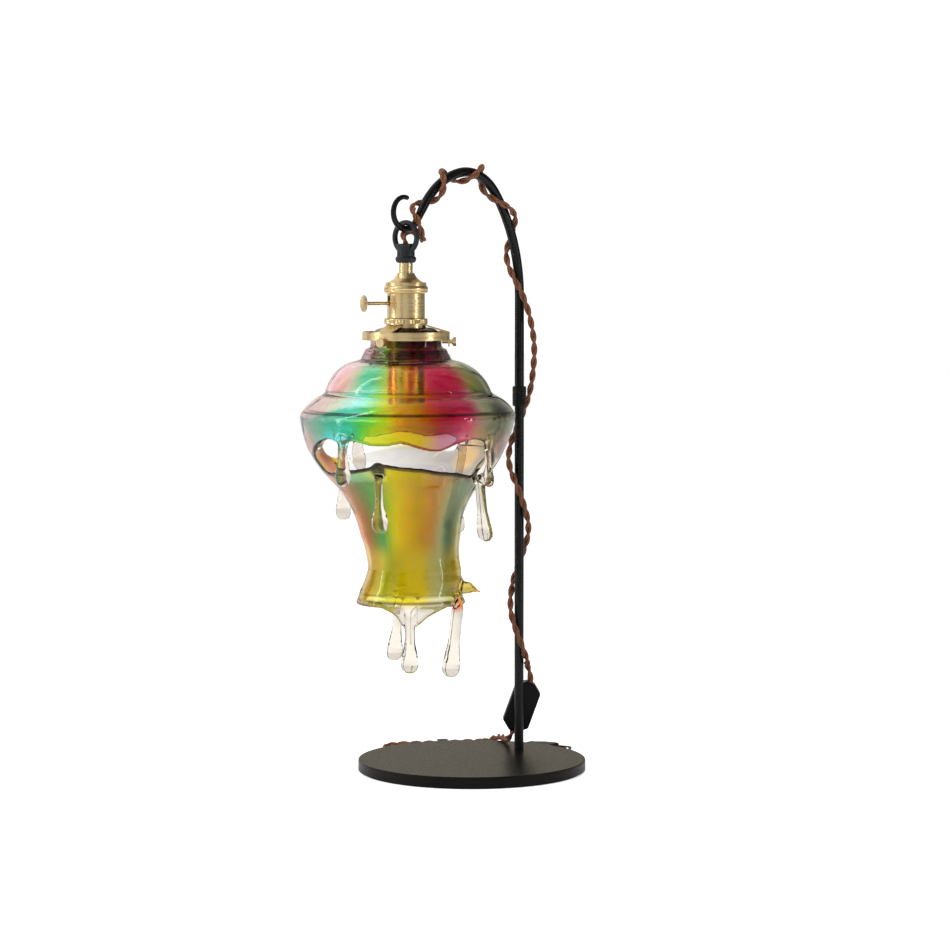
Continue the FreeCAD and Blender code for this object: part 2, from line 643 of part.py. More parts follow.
def gallery_shape():
    outer = number(gallery_radius)
    thick = number("sizes.gallery_wall")
    hub = number("sizes.hub_width") / 2
    high = number(f"{hub_bottom} - sizes.gallery_drop")
    low = high - number("sizes.gallery_height")
    hub_low = number(hub_bottom)
    hub_high = number(f"{knurl_bottom} - sizes.fit_gap")
    plate = number("sizes.arm_thick")
    width = number("sizes.arm_width")
    bore = number(thread_radius) + number("sizes.fit_gap")
    rim = Part.makeCylinder(outer, high - low, vector(0, 0, low))
    shape = rim.cut(Part.makeCylinder(outer - thick, high - low + 2, vector(0, 0, low - 1)))
    shape = shape.fuse(Part.makeCylinder(hub, hub_high - hub_low, vector(0, 0, hub_low)))
    lug_low = low - number("sizes.lug_drop")
    for angle in thumb_angles:
        slope = Part.makePolygon([
            vector(hub - 1.2, -width / 2, hub_high),
            vector(hub - 1.2, -width / 2, hub_high - plate),
            vector(outer - thick, -width / 2, high - plate - 0.2),
            vector(outer - 0.4, -width / 2, high - plate - 0.2),
            vector(outer - 0.4, -width / 2, high),
            vector(hub - 1.2, -width / 2, hub_high),
        ])
        arm = Part.Face(slope).extrude(vector(0, width, 0))
        arm = arm.common(Part.makeCylinder(outer, 40, vector(0, 0, low - 10)))
        lug = Part.makeBox(outer, number("sizes.lug_width"), high - lug_low - 1,
                           vector(0, -number("sizes.lug_width") / 2, lug_low))
        sleeve_ring = Part.makeCylinder(outer, 60, vector(0, 0, lug_low - 5))
        sleeve_ring = sleeve_ring.cut(Part.makeCylinder(outer - thick, 60, vector(0, 0, lug_low - 5)))
        for piece in (arm, lug.common(sleeve_ring)):
            piece.rotate(vector(0, 0, 0), vector(0, 0, 1), angle)
            shape = shape.fuse(piece)
        hole = Part.makeCylinder(number("sizes.thumb_width / 2 + sizes.turn_gap"), 20,
                                 polar(outer - 10, angle, number(thumb_level)), polar(1, angle))
        shape = shape.cut(hole)
    shape = shape.cut(Part.makeCylinder(bore, 60, vector(0, 0, lug_low)))
    shape.translate(vector(number(pendant_x), 0, 0))
    return shape.removeSplitter()


keep("gallery", feature("gallery_spider", gallery_shape()))

# Melted glass shade: a blown bell with a screw neck, a stepped dome, a sharp shoulder and a
# flaring mouth, opened by two melted slots, with glass drips hanging from every edge.
glass_wall = 4.0
shade_width = 209.8
mouth_depth = 268.1
bell_width = 150.4
set_sizes("shade", glass_wall=glass_wall, glass_hole=41.0, glass_neck=69.0, glass_lip=77.0,
          lip_bulge=2.0, dome_foot=162.0, shade_width=shade_width, bell_width=bell_width,
          throat_width=93.6, mouth_width=98.2)
set_sizes("shade depths", glass_drop=2.5, neck_shoulder=8.8, neck_depth=20.7, lip_depth=31.9,
          step_depth=64.0, shoulder_depth=85.0, bell_depth=148.4, throat_depth=202.8,
          mouth_depth=mouth_depth)

glass_top = f"({knurl_bottom} - sizes.glass_drop)"


def shade_profile(inset):
    # Corners from the top hole to the mouth, as (radius, depth, arc radius, side).
    half = {name: number(f"sizes.{name}") / 2 - inset for name in (
        "glass_neck", "glass_lip", "dome_foot", "shade_width", "bell_width",
        "throat_width", "mouth_width")}
    depth = {name: number(f"sizes.{name}") for name in (
        "neck_shoulder", "neck_depth", "lip_depth", "step_depth", "shoulder_depth",
        "bell_depth", "throat_depth", "mouth_depth")}
    bulge = number("sizes.lip_bulge")
    ridge = (depth["lip_depth"] - depth["neck_depth"]) / 2
    ridge_curve = ((ridge / 2) ** 2 + bulge ** 2) / (2 * bulge)
    hole = number("sizes.glass_hole") / 2
    corners = [
        (hole, inset, 0, 0),
        (half["glass_neck"] - 8, inset * 0.9 + 1.6, 12.0, 1),
        (half["glass_neck"], depth["neck_shoulder"], 0, 0),
        (half["glass_neck"], depth["neck_depth"], 0, 0),
    ]
    if inset == 0:
        corners += [
            (half["glass_lip"], depth["neck_depth"], ridge_curve, 1),
            (half["glass_lip"], depth["neck_depth"] + ridge, ridge_curve, 1),
        ]
    corners += [
        (half["glass_lip"] + 3.5, depth["lip_depth"] + inset, 42.6 - inset, 1),
        (half["dome_foot"], depth["step_depth"] + inset * 0.6, 0, 0),
        (half["dome_foot"] + 1.2, depth["step_depth"] + 1 + inset * 0.6, 46.4 - inset, 1),
        (half["shade_width"], depth["shoulder_depth"] + inset * 0.4, 106.8 - inset, 1),
        (half["bell_width"], depth["bell_depth"], 96.4 + inset, -1),
        (half["throat_width"], depth["throat_depth"], 84.9 + inset, -1),
        (half["mouth_width"], depth["mouth_depth"], 0, 0),
    ]
    return corners


def turned_form(corners, base, centre_x):
    points = [vector(radius, 0, base - depth) for radius, depth, curve, side in corners]
    edges = [Part.LineSegment(vector(0, 0, points[0].z), points[0]).toShape()]
    for index in range(len(points) - 1):
        first = points[index]
        last = points[index + 1]
        radius = corners[index][2]
        if radius == 0:
            edges.append(Part.LineSegment(first, last).toShape())
            continue
        chord = last - first
        out = vector(-chord.z, 0, chord.x).normalize()
        radius = max(radius, chord.Length / 2 + 0.01)
        rise = radius - math.sqrt(radius ** 2 - (chord.Length / 2) ** 2)
        middle = (first + last) / 2 + out * (rise * corners[index][3])
        edges.append(Part.Arc(first, middle, last).toShape())
    edges.append(Part.LineSegment(points[-1], vector(0, 0, points[-1].z)).toShape())
    edges.append(Part.LineSegment(vector(0, 0, points[-1].z), vector(0, 0, points[0].z)).toShape())
    form = Part.Face(Part.Wire(edges)).revolve(vector(0, 0, 0), vector(0, 0, 1), 360)
    form.translate(vector(centre_x, 0, 0))
    return form


# The slots' melted edges are drawn across the shade as it is looked at, in millimetres
# right of its axis and down from its top. The front faces the angle view_angle.
view_angle = 221.6
front_slot = [
    (-86, 128), (-80, 109), (-72, 105.4), (-64, 108), (-52, 106.5), (-40, 108.5), (-27, 111),
    (-14, 110), (-3, 108.4), (9, 111.5), (24, 115.4), (34, 115.5), (46, 110.5), (58, 106.6),
    (70, 106), (78, 112), (82, 126), (76, 139), (66.5, 141.5), (52, 137.6), (33, 135), (16, 131.5),
    (-6, 129.6), (-21, 127.6), (-38, 131.5), (-55, 134.8), (-64, 137), (-76, 138.5),
]
back_slot = [
    (-50, 123), (-46, 112), (-37, 109), (-24, 112), (-6, 109), (14, 107.5),
    (32, 111.5), (50, 109.5), (66, 106.5), (77, 110), (84, 122), (78, 136), (62, 139),
    (44, 134.5), (22, 131), (4, 128.5), (-16, 130.5), (-34, 133.5), (-46, 133),
]


def slot_cutter(outline, facing):
    # The outline becomes one closed smooth curve, pushed outwards from the shade's axis.
    side = polar(1, facing + 90)
    base = vector(number(pendant_x), 0, number(glass_top))
    reach = number("sizes.shade_width") / 2 + 20
    points = [base + side * across - vector(0, 0, down) for across, down in outline]
    curve = Part.BSplineCurve()
    curve.interpolate(points, PeriodicFlag=True)
    face = Part.Face(Part.Wire(curve.toShape()))
    start = polar(20, facing)
    face.translate(start)
    return face.extrude(polar(reach, facing))


def drip(angle, radius, top, length, stem, bulb, root, lean):
    # One hanging drip: a rounded root melting into the edge, a thin stem and a round drop.
    # It leans to the right, in degrees, as the shade is looked at.
    half = bulb / 2
    middle = half - length
    neck = min(0.45 * length, 14)
    root_edge = vector(root / 2, 0, 0)
    stem_top = vector(stem / 2, 0, -neck)
    stem_end = vector(stem / 2, 0, middle + 1.6 * half)
    drop_top = vector(half * math.cos(0.7), 0, middle + half * math.sin(0.7))
    drop_side = vector(half * math.cos(-0.4), 0, middle + half * math.sin(-0.4))
    bottom = vector(0, 0, -length)
    melt = (root_edge + stem_top) / 2 + vector(-0.12 * (root - stem), 0, -0.10 * neck)
    swell = (stem_end + drop_top) / 2 + vector(-0.04 * half, 0, -0.03 * half)
    crown = vector(0, 0, 0.4 * root)
    brow = vector(0.354 * root, 0, 0.283 * root)
    edges = [
        Part.Arc(crown, brow, root_edge).toShape(),
        Part.Arc(root_edge, melt, stem_top).toShape(),
        Part.LineSegment(stem_top, stem_end).toShape(),
        Part.Arc(stem_end, swell, drop_top).toShape(),
        Part.Arc(drop_top, drop_side, bottom).toShape(),
        Part.LineSegment(bottom, crown).toShape(),
    ]
    solid = Part.Face(Part.Wire(edges)).revolve(vector(0, 0, 0), vector(0, 0, 1), 360)
    base = vector(number(pendant_x), 0, number(glass_top) - top)
    solid.translate(base + polar(radius, angle))
    solid.rotate(base + polar(radius, angle), polar(1, view_angle), lean)
    return solid


# Each drip is its angle from the front, its distance from the axis, the depth at which it
# starts, its length, the widths of its stem, its drop and its root, and its lean. The last
# one is the glass thorn that the mouth's right side has pulled out to.
shade_drips = [
    (-37, 98.3, 106, 43, 9.0, 15.5, 13, 0),
    (-17, 87.0, 131, 63, 8.0, 16.0, 13, 0),
    (53.5, 98.1, 106, 43, 7.0, 11.5, 11, 0),
    (55, 86.3, 139, 64, 10.0, 15.5, 14, 0),
    (-149, 98.1, 107, 36, 9.0, 15.0, 13, 0),
    (-131, 86.8, 133, 61, 9.0, 15.5, 13, 0),
    (145, 98.1, 107, 102, 9.0, 15.0, 13, 0),
    (-166, 46.8, 265, 61, 9.0, 15.5, 12, 0),
    (0, 46.8, 266, 67, 9.5, 16.3, 14, 0),
    (66, 46.8, 265, 76, 12.0, 18.0, 16, -6),
    (90, 44.5, 253, 25, 6.0, 4.2, 19, 74),
]

# The sheet of glass that has run down from the mouth's front into the front drip.
front_web = [
    (-37, 264), (-22, 272), (-11, 279.5), (-5.5, 288), (5.5, 288), (13, 281.5), (27, 273),
    (42, 263), (24, 262), (-18, 262),
]


def web_shape(base, centre_x):
    # The part of a short pipe below the mouth that the sheet's outline keeps.
    low = base - number("sizes.mouth_depth")
    outer = number("sizes.mouth_width") / 2 - 0.3
    inner = outer - number("sizes.glass_wall") + 0.6
    pipe = Part.makeCylinder(outer, 30, vector(centre_x, 0, low - 24))
    pipe = pipe.cut(Part.makeCylinder(inner, 30, vector(centre_x, 0, low - 24)))
    return pipe.common(slot_cutter(front_web, view_angle))


def glass_shape():
    base = number(glass_top)
    centre_x = number(pendant_x)
    thick = number("sizes.glass_wall")
    outer = turned_form(shade_profile(0), base, centre_x)
    hollow = turned_form(shade_profile(thick), base, centre_x)
    low = base - number("sizes.mouth_depth")
    mouth = number("sizes.mouth_width") / 2
    hole = number("sizes.glass_hole") / 2
    hollow = hollow.fuse(Part.makeCylinder(mouth - thick, 6, vector(centre_x, 0, low - 5.9)))
    hollow = hollow.fuse(Part.makeCylinder(hole, thick * 3, vector(centre_x, 0, base - thick * 1.5)))
    shade = outer.cut(hollow)
    rim = Part.makeTorus(mouth - thick / 2, thick * 0.62, vector(centre_x, 0, low))
    shade = shade.fuse(rim)
    for outline, facing in ((front_slot, view_angle), (back_slot, view_angle + 180)):
        shade = shade.cut(slot_cutter(outline, facing))
    solids = sorted(shade.Solids, key=lambda solid: solid.Volume)
    shade = solids[-1]
    for entry in shade_drips:
        shade = shade.fuse(drip(view_angle + entry[0], *entry[1:]))
    return shade.fuse(web_shape(base, centre_x))


keep("glass_shade", feature("melted_glass", glass_shape()))

# Thumb screws: brass, through the gallery's lugs, with their tips against the glass neck.
for index, angle in enumerate(thumb_angles):
    tip = "(sizes.glass_neck / 2 + sizes.tip_gap)"
    head_start = f"({gallery_radius} + sizes.thumb_space)"
    shank = radial_cylinder(f"thumb_shank_{index}", "sizes.thumb_width / 2",
                            f"{head_start} - {tip} + 0.4", tip, angle, pendant_x, thumb_level)
    head = radial_cylinder(f"thumb_head_{index}", "sizes.thumb_head / 2",
                           "sizes.thumb_head_thick", head_start, angle, pendant_x, thumb_level)
    shoulder = radial_cylinder(f"thumb_shoulder_{index}", "sizes.thumb_head / 3", "1",
                               f"{head_start} - 1", angle, pendant_x, thumb_level)
    keep(f"thumb_screw_{index + 1}", fuse(f"thumb_{index}", shank, shoulder, head))

# In-line dimmer: a black moulded box in two halves that leans behind the post. Its own frame
# has X across, Y through its thickness and Z along the cord.
set_sizes("dimmer box", box_width=27.6, box_length=52.6, box_thick=20.0, box_wall=2.0,
          box_shoulder=37.0, box_end=9.0, box_lean=20.0, box_x=85.8, box_y=7.9, box_z=54.3,
          box_turn=-48.4)
set_sizes("dimmer wheel", wheel_width=18.6, wheel_thick=5.0, wheel_x=5.0, wheel_z=-9.0,
          wheel_slot_gap=0.5, axle_width=2.4, wheel_ribs=36, wheel_rib_depth=0.35)

box_place = FreeCAD.Placement(
    vector(number("sizes.box_x"), number("sizes.box_y"), number("sizes.box_z")),
    FreeCAD.Rotation(vector(0, 0, 1), number("sizes.box_turn"))
    * FreeCAD.Rotation(vector(0, 1, 0), number("sizes.box_lean")),
)


def placed_in_box(name, shape):
    made = feature(name, shape)
    made.Placement = box_place
    return made


def box_outline(inset):
    across = number("sizes.box_width") / 2 - inset
    along = number("sizes.box_length") / 2 - inset
    shoulder = number("sizes.box_shoulder") / 2 - inset * 0.3
    end = number("sizes.box_end") / 2 + inset * 0.2
    corners = [(across, -shoulder), (across, shoulder), (end, along), (-end, along),
               (-across, shoulder), (-across, -shoulder), (-end, -along), (end, -along)]
    points = [vector(x, 0, z) for x, z in corners]
    return Part.Face(Part.makePolygon(points + [points[0]]))


def box_half(side):
    thick = number("sizes.box_thick") / 2
    wall_size = number("sizes.box_wall")
    shell = box_outline(0).extrude(vector(0, side * thick, 0))
    outer_edges = [edge for edge in shell.Edges
                   if abs(edge.CenterOfMass.y - side * thick) < 0.01]
    corner_edges = [edge for edge in shell.Edges
                    if abs(abs(edge.CenterOfMass.y) - thick / 2) < 0.01]
    shell = shell.makeFillet(2.0, outer_edges + corner_edges)
    cavity = box_outline(wall_size).extrude(vector(0, side * (thick - wall_size), 0))
    shell = shell.cut(cavity)
    length = number("sizes.box_length")
    entry = Part.makeCylinder(number(f"{cord_radius} + sizes.cord_gap"), length + 4,
                              vector(0, 0, -length / 2 - 2))
    shell = shell.cut(entry)
    wheel = vector(number("sizes.wheel_x"), 0, number("sizes.wheel_z"))
    gap = number("sizes.wheel_slot_gap")
    room = Part.makeCylinder(
        number("sizes.wheel_width") / 2 + gap, number("sizes.wheel_thick") + 2 * gap,
        wheel - vector(0, number("sizes.wheel_thick") / 2 + gap, 0), vector(0, 1, 0))
    shell = shell.cut(room)
    boss_start = side * (number("sizes.wheel_thick") / 2 + gap)
    boss = Part.makeCylinder(number("sizes.axle_width") / 2 + 1.4,
                             thick - 0.5 - abs(boss_start),
                             wheel + vector(0, boss_start, 0), vector(0, side, 0))
    shell = shell.fuse(boss)
    seat = Part.makeCylinder(number("sizes.axle_width / 2 + sizes.fit_gap"), 2 * (thick - 1.5),
                             wheel - vector(0, thick - 1.5, 0), vector(0, 1, 0))
    return shell.cut(seat)


def screw_points():
    across = number("sizes.box_width") / 2 - 6.2
    along = number("sizes.box_shoulder") / 2 - 3.5
    return [vector(-across, 0, along), vector(-across, 0, -along)]


def screw_form(spare):
    # Two small screws from the back half into posts of the front half.
    thick = number("sizes.box_thick") / 2
    solids = []
    for point in screw_points():
        shank = Part.makeCylinder(1.3 + spare, thick + 4, point + vector(0, -5, 0), vector(0, 1, 0))
        head = Part.makeCylinder(2.5 + spare, 2.2, point + vector(0, thick - 2.0, 0), vector(0, 1, 0))
        solids.append(shank.fuse(head))
    return Part.makeCompound(solids)


def with_posts(half, side):
    thick = number("sizes.box_thick") / 2
    for point in screw_points():
        post = Part.makeCylinder(2.9, thick - 0.5, point, vector(0, side, 0))
        half = half.fuse(post)
    half = half.cut(screw_form(number("sizes.fit_gap")))
    return half.removeSplitter()


keep("dimmer_case_front", placed_in_box("case_front", with_posts(box_half(-1), -1)))
keep("dimmer_case_back", placed_in_box("case_back", with_posts(box_half(1), 1)))
keep("case_screws", placed_in_box("case_screw_pair", screw_form(0)))


def wheel_shape():
    radius = number("sizes.wheel_width") / 2
    thick = number("sizes.wheel_thick")
    count = int(number("sizes.wheel_ribs"))
    centre = vector(number("sizes.wheel_x"), -thick / 2, number("sizes.wheel_z"))
    points = []
    for step in range(2 * count):
        angle = math.pi * step / count
        reach = radius - (number("sizes.wheel_rib_depth") if step % 2 else 0)
        points.append(centre + vector(reach * math.cos(angle), 0, reach * math.sin(angle)))
    disc = Part.Face(Part.makePolygon(points + [points[0]])).extrude(vector(0, thick, 0))
    bore = Part.makeCylinder(number("sizes.axle_width / 2 + sizes.turn_gap"), thick + 2,
                             centre - vector(0, 1, 0), vector(0, 1, 0))
    return disc.cut(bore)


keep("dimmer_wheel", placed_in_box("thumb_wheel", wheel_shape()))
axle_reach = number("sizes.box_thick / 2 - 1.6")
axle_centre = vector(number("sizes.wheel_x"), -axle_reach, number("sizes.wheel_z"))
keep("wheel_axle", placed_in_box("axle_pin", Part.makeCylinder(
    number("sizes.axle_width / 2"), 2 * axle_reach, axle_centre, vector(0, 1, 0))))
board = Part.makeBox(12, 1.6, 8.8, vector(-6.4, -6, 4))
board = board.fuse(Part.makeBox(7, 5, 7.2, vector(-4, -4.6, 4.8)))
keep("dimmer_board", placed_in_box("circuit_board", board))


# Cord: two cores twisted together, drawn as one round tube. Straight runs are joined by
# tangent arcs, and the points of each stretch are chosen by hand.
def cord_tube(name, points):
    points = [vector(*point) for point in points]
    runs = [(b - a).Length for a, b in zip(points, points[1:])]
    edges = []
    last = points[0]
    radii = []
    for index in range(1, len(points) - 1):
        before = (points[index] - points[index - 1]).normalize()
        after = (points[index + 1] - points[index]).normalize()
        half_turn = before.getAngle(after) / 2
        trim = 0.45 * min(runs[index - 1], runs[index])
        radii.append(trim / math.tan(half_turn))
        start = points[index] - before * trim
        end = points[index] + after * trim
        inner = (after - before).normalize()
        middle = points[index] + inner * (radii[-1] / math.cos(half_turn) - radii[-1])
        edges.append(Part.LineSegment(last, start).toShape())
        edges.append(Part.Arc(start, middle, end).toShape())
        last = end
    edges.append(Part.LineSegment(last, points[-1]).toShape())
    tube = sweep(edges, points[0], (points[1] - points[0]).normalize())
    length = sum(edge.Length for edge in edges)
    radius = number(cord_radius)
    print(f"{name}: length {length:.1f}, smallest arc {min(radii, default=0):.1f},"
          f" volume over section x length {tube.Volume / (math.pi * radius ** 2 * length):.4f}")
    print("   radii " + " ".join(f"{radius:.0f}" for radius in radii))
    return tube


def sweep(edges, start, heading):
    ring = Part.Wire(Part.Circle(start, heading, number(cord_radius)).toShape())
    return Part.Wire(edges).makePipeShell([ring], True, False)


# Route of each stretch, in millimetres. Along the crook and the post the cord winds round
# the bar, so its turns there are as tight as the bar makes them.
lead_points = [
    (-96.2, 0, 519), (-96.2, 0, 529.3), (-95.4, 3.6, 533.2), (-92.9, 6.3, 536.2),
    (-88.9, 7.2, 537.9), (-85.7, 7.2, 537.9),
]
main_points = [
    (-85.4, 7.2, 537.9), (-81.8, 7.2, 537.9), (-77.4, 4.6, 537.2), (-74.7, -0.6, 533.4),
    (-77.8, -6.4, 530.0), (-84.0, -10.3, 531.3), (-87.3, -12.4, 538.0), (-86.8, -9.0, 547.0),
    (-87.7, -3.7, 555.0), (-85.0, 1.5, 560.0), (-76.5, 8.5, 564.5), (-65.0, 8.5, 567.0), (-57.0, 4.0, 567.5),
    (-53.0, -3.5, 571.0), (-52.5, -9.5, 578.5), (-51.0, -9.5, 587.0), (-49.5, -6.0, 594.0),
    (-41.5, 3.5, 598.5), (-29.0, 10.5, 596.5), (-21.5, 9.0, 591.0), (-17.5, 4.5, 588.0),
    (-13.5, -2.0, 588.5), (-9.0, -7.5, 591.5), (-3.0, -9.5, 596.0), (4.5, -8.5, 601.5),
    (14.5, -0.5, 603.5), (21.5, 8.0, 597.0), (22.5, 9.5, 587.5), (23.5, 6.0, 580.0),
    (26.0, 0.0, 573.5), (32.0, -6.0, 569.0), (40.0, -9.0, 565.5), (49.5, -10.0, 560.5),
    (61.0, -4.5, 552.5), (67.5, 3.0, 543.5), (67.5, 7.5, 534.0), (65.5, 10.0, 524.5),
    (62.0, 9.0, 514.5), (60.5, 4.0, 504.0), (61.5, -1.0, 493.5), (64.5, -6.0, 483.5),
    (68.5, -9.5, 472.5), (72.5, -12.0, 459.0), (76.5, -13.0, 444.5), (80.0, -13.0, 429.5),
    (82.5, -11.5, 415.0), (83.5, -9.0, 399.5), (84.5, -6.0, 385.5), (85.0, -1.5, 371.5),
    (83.0, 3.0, 358.0), (80.0, 7.0, 345.0), (75.0, 10.0, 333.0), (69.0, 10.0, 320.0),
    (63.5, 7.0, 308.0), (62.0, 1.5, 295.5), (63.5, -4.0, 284.0), (66.5, -8.0, 271.0),
    (71.5, -10.0, 256.0), (78.5, -8.0, 240.0), (82.5, -1.5, 224.0), (81.5, 4.5, 209.5),
    (77.5, 8.5, 195.0), (73.0, 10.0, 180.0), (66.5, 7.0, 163.5), (62.5, 1.5, 148.0),
    (63.5, -4.0, 134.5), (65.9, -10.6, 118.7), (69.0, -11.8, 109.1), (77.8, -6.8, 99.7),
    (83.8, -0.1, 99.3), (90.1, 2.6, 93.3), (92.4, 0.4, 81.8), (90.8, 2.1, 75.2),
]

# Spare cord behind the foot: a flat hank of four runs, tied at its waist. Each corner is an
# angle right of the hank's middle, a distance outside its middle line, and +1 for heading
# right or -1 for left; the fold tops are added from the two corners they join.
set_sizes("hank", hank_reach=136.6, hank_spread=20.0, hank_level=3.8, waist_step=7.1,
          fold_gap=7.1, fold_radius=10.6, tie_width=10.0, tie_thick=0.42)
hank_angle = 53.6
run_step = number("sizes.waist_step")
fold = number("sizes.fold_radius")
fold_step = number("sizes.fold_gap")
spread = number("sizes.hank_spread")
hank_corners = [
    (6, run_step * 0.625, -1), (0, run_step / 2, -1),
    (-spread, fold, -1), (-spread, -fold, 1),
    (0, -run_step / 2, 1),
    (spread, -fold, 1), (spread, fold + fold_step, -1),
    (0, run_step * 1.5, -1),
    (-spread, fold + fold_step, -1), (-spread, -fold - fold_step, 1),
    (0, -run_step * 1.5, 1), (spread, -fold - fold_step, 1),
]


def hank_point(angle, offset):
    return polar(number("sizes.hank_reach") + offset, hank_angle - angle,
                 number("sizes.hank_level"))


def hank_heading(angle, side):
    return polar(1, hank_angle - angle - 90 * side)


def corner_arc(start, corner, end):
    # The arc that leaves start towards the corner and arrives at end from it.
    before = (corner - start).normalize()
    after = (end - corner).normalize()
    half_turn = before.getAngle(after) / 2
    trim = (corner - start).Length
    radius = trim / math.tan(half_turn)
    inner = (after - before).normalize()
    middle = corner + inner * (radius / math.cos(half_turn) - radius)
    return Part.Arc(start, middle, end).toShape(), radius


def joined_arcs(start, start_heading, end, end_heading):
    # Two arcs that share a tangent where they meet.
    chord = end - start
    both = start_heading + end_heading
    spare = 2 * (1 - start_heading.dot(end_heading))
    along = chord.dot(both)
    reach = (math.sqrt(along ** 2 + spare * chord.dot(chord)) - along) / spare
    first = start + start_heading * reach
    last = end - end_heading * reach
    middle = (first + last) / 2
    return [corner_arc(start, first, middle), corner_arc(middle, last, end)]


def hank_edges():
    stops = []
    for index, (angle, offset, side) in enumerate(hank_corners):
        here = (hank_point(angle, offset), hank_heading(angle, side))
        stops.append(here)
        follower = hank_corners[(index + 1) % len(hank_corners)]
        if follower[0] == angle and follower[2] == -side:
            half = abs(offset - follower[1]) / 2
            middle = (here[0] + hank_point(*follower[:2])) / 2
            across = (hank_point(*follower[:2]) - here[0]).normalize()
            stops.append((middle + here[1] * half, across))
    edges = []
    radii = []
    for (start, heading), (end, last) in zip(stops, stops[1:]):
        for edge, radius in joined_arcs(start, heading, end, last):
            edges.append(edge)
            radii.append(radius)
    width = number("sizes.cord_width")
    first = Part.LineSegment(stops[0][0] - stops[0][1] * width, stops[0][0]).toShape()
    final = Part.LineSegment(stops[-1][0], stops[-1][0] + stops[-1][1] * width).toShape()
    return [first] + edges + [final], radii


def path_points(edges, step=1.5):
    points = []
    travelled = 0.0
    for edge in edges:
        count = max(2, int(edge.Length / step))
        low, high = edge.ParameterRange
        for index in range(count):
            share = index / count
            points.append((travelled + edge.Length * share,
                           edge.valueAt(low + (high - low) * share)))
        travelled += edge.Length
    return points


def least_gap(points, skip):
    # Smallest distance between two places on one cord, less its width, leaving out
    # neighbours nearer than skip along the cord.
    least = 1e9
    for index, (first_at, first) in enumerate(points):
        for last_at, last in points[index + 1:]:
            if last_at - first_at > skip:
                least = min(least, first.distanceToPoint(last))
    return least - number("sizes.cord_width")


spare_edges, spare_radii = hank_edges()
hank_tube = sweep(spare_edges, spare_edges[0].valueAt(spare_edges[0].ParameterRange[0]),
                  hank_heading(6, -1))
hank_length = sum(edge.Length for edge in spare_edges)
hank_section = math.pi * number(cord_radius) ** 2
print(f"cord_hank: length {hank_length:.1f}, smallest arc {min(spare_radii):.1f},"
      f" volume over section x length {hank_tube.Volume / hank_section / hank_length:.4f},"
      f" least gap to itself {least_gap(path_points(spare_edges), 30):.2f}")
keep("cord_hank", feature("hank", hank_tube))

# The stretches on either side of the hank end on its straight ends.
straight = number("sizes.cord_width")
spare_gap = 0.05
hank_start = hank_point(6, run_step * 0.625) - hank_heading(6, -1) * (straight + spare_gap)
hank_end = hank_point(spread, -fold - fold_step) + hank_heading(spread, 1) * (straight + spare_gap)
tail_points = [
    (80.7, 13.5, 33.4), (79.0, 15.4, 26.6), (80.6, 20.7, 20.8), (87.0, 28.5, 16.9),
    (95.6, 38.4, 15.9), (102.6, 48.6, 15.8), (108.1, 57.8, 14.6), (113.2, 67.6, 11.9),
    (113.8, 80.4, 7.0),
    tuple(hank_start + hank_heading(6, 1) * 11), tuple(hank_start),
]
plug_way = 10.6
plug_heading = polar(1, plug_way - 90)
plug_start = vector(122.7, 31.8, number("sizes.hank_level"))
end_points = [
    tuple(hank_end), tuple(hank_end + hank_heading(spread, 1) * 7), (115.4, 49.4, 3.8),
    (121.0, 40.5, 3.8), tuple(plug_start + plug_heading * 2),
]
keep("cord_lead", feature("lead", cord_tube("cord_lead", lead_points)))
keep("cord_main", feature("main", cord_tube("cord_main", main_points)))
keep("cord_tail", feature("tail", cord_tube("cord_tail", tail_points)))
keep("cord_end", feature("end", cord_tube("cord_end", end_points)))


def tie_shape():
    # A flat band round the four runs, drawn across them and pushed along them.
    reach = number("sizes.hank_reach")
    half = run_step * 1.5 + number(cord_radius) + 0.45
    level = number("sizes.hank_level")
    low = level - number(cord_radius) - 0.05
    high = level + number(cord_radius) + 0.1
    band = number("sizes.tie_thick")
    wide = number("sizes.tie_width")
    outer = Part.makeBox(2 * (half + band), wide, high - low + 2 * band,
                         vector(reach - half - band, -wide / 2, low - band))
    upright = [edge for edge in outer.Edges
               if edge.BoundBox.YLength > wide / 2]
    outer = outer.makeFillet(band, upright)
    inner = Part.makeBox(2 * half, wide + 2, high - low, vector(reach - half, -wide / 2 - 1, low))
    band_shape = outer.cut(inner)
    band_shape.rotate(vector(0, 0, 0), vector(0, 0, 1), hank_angle)
    return band_shape


keep("hank_tie", feature("tie", tie_shape()))

# Plug: a flat two-pin plug that lies on its side behind the foot.
set_sizes("plug", plug_long=32.0, plug_wide=24.0, plug_thick=10.4, plug_neck=13.0,
          pin_apart=12.7, pin_wide=6.35, pin_thick=1.5, pin_long=17.0, pin_root=6.0)
plug_place = FreeCAD.Placement(
    vector(plug_start.x, plug_start.y, number("sizes.plug_thick / 2 + 0.2")),
    FreeCAD.Rotation(vector(0, 0, 1), plug_way - 90),
)


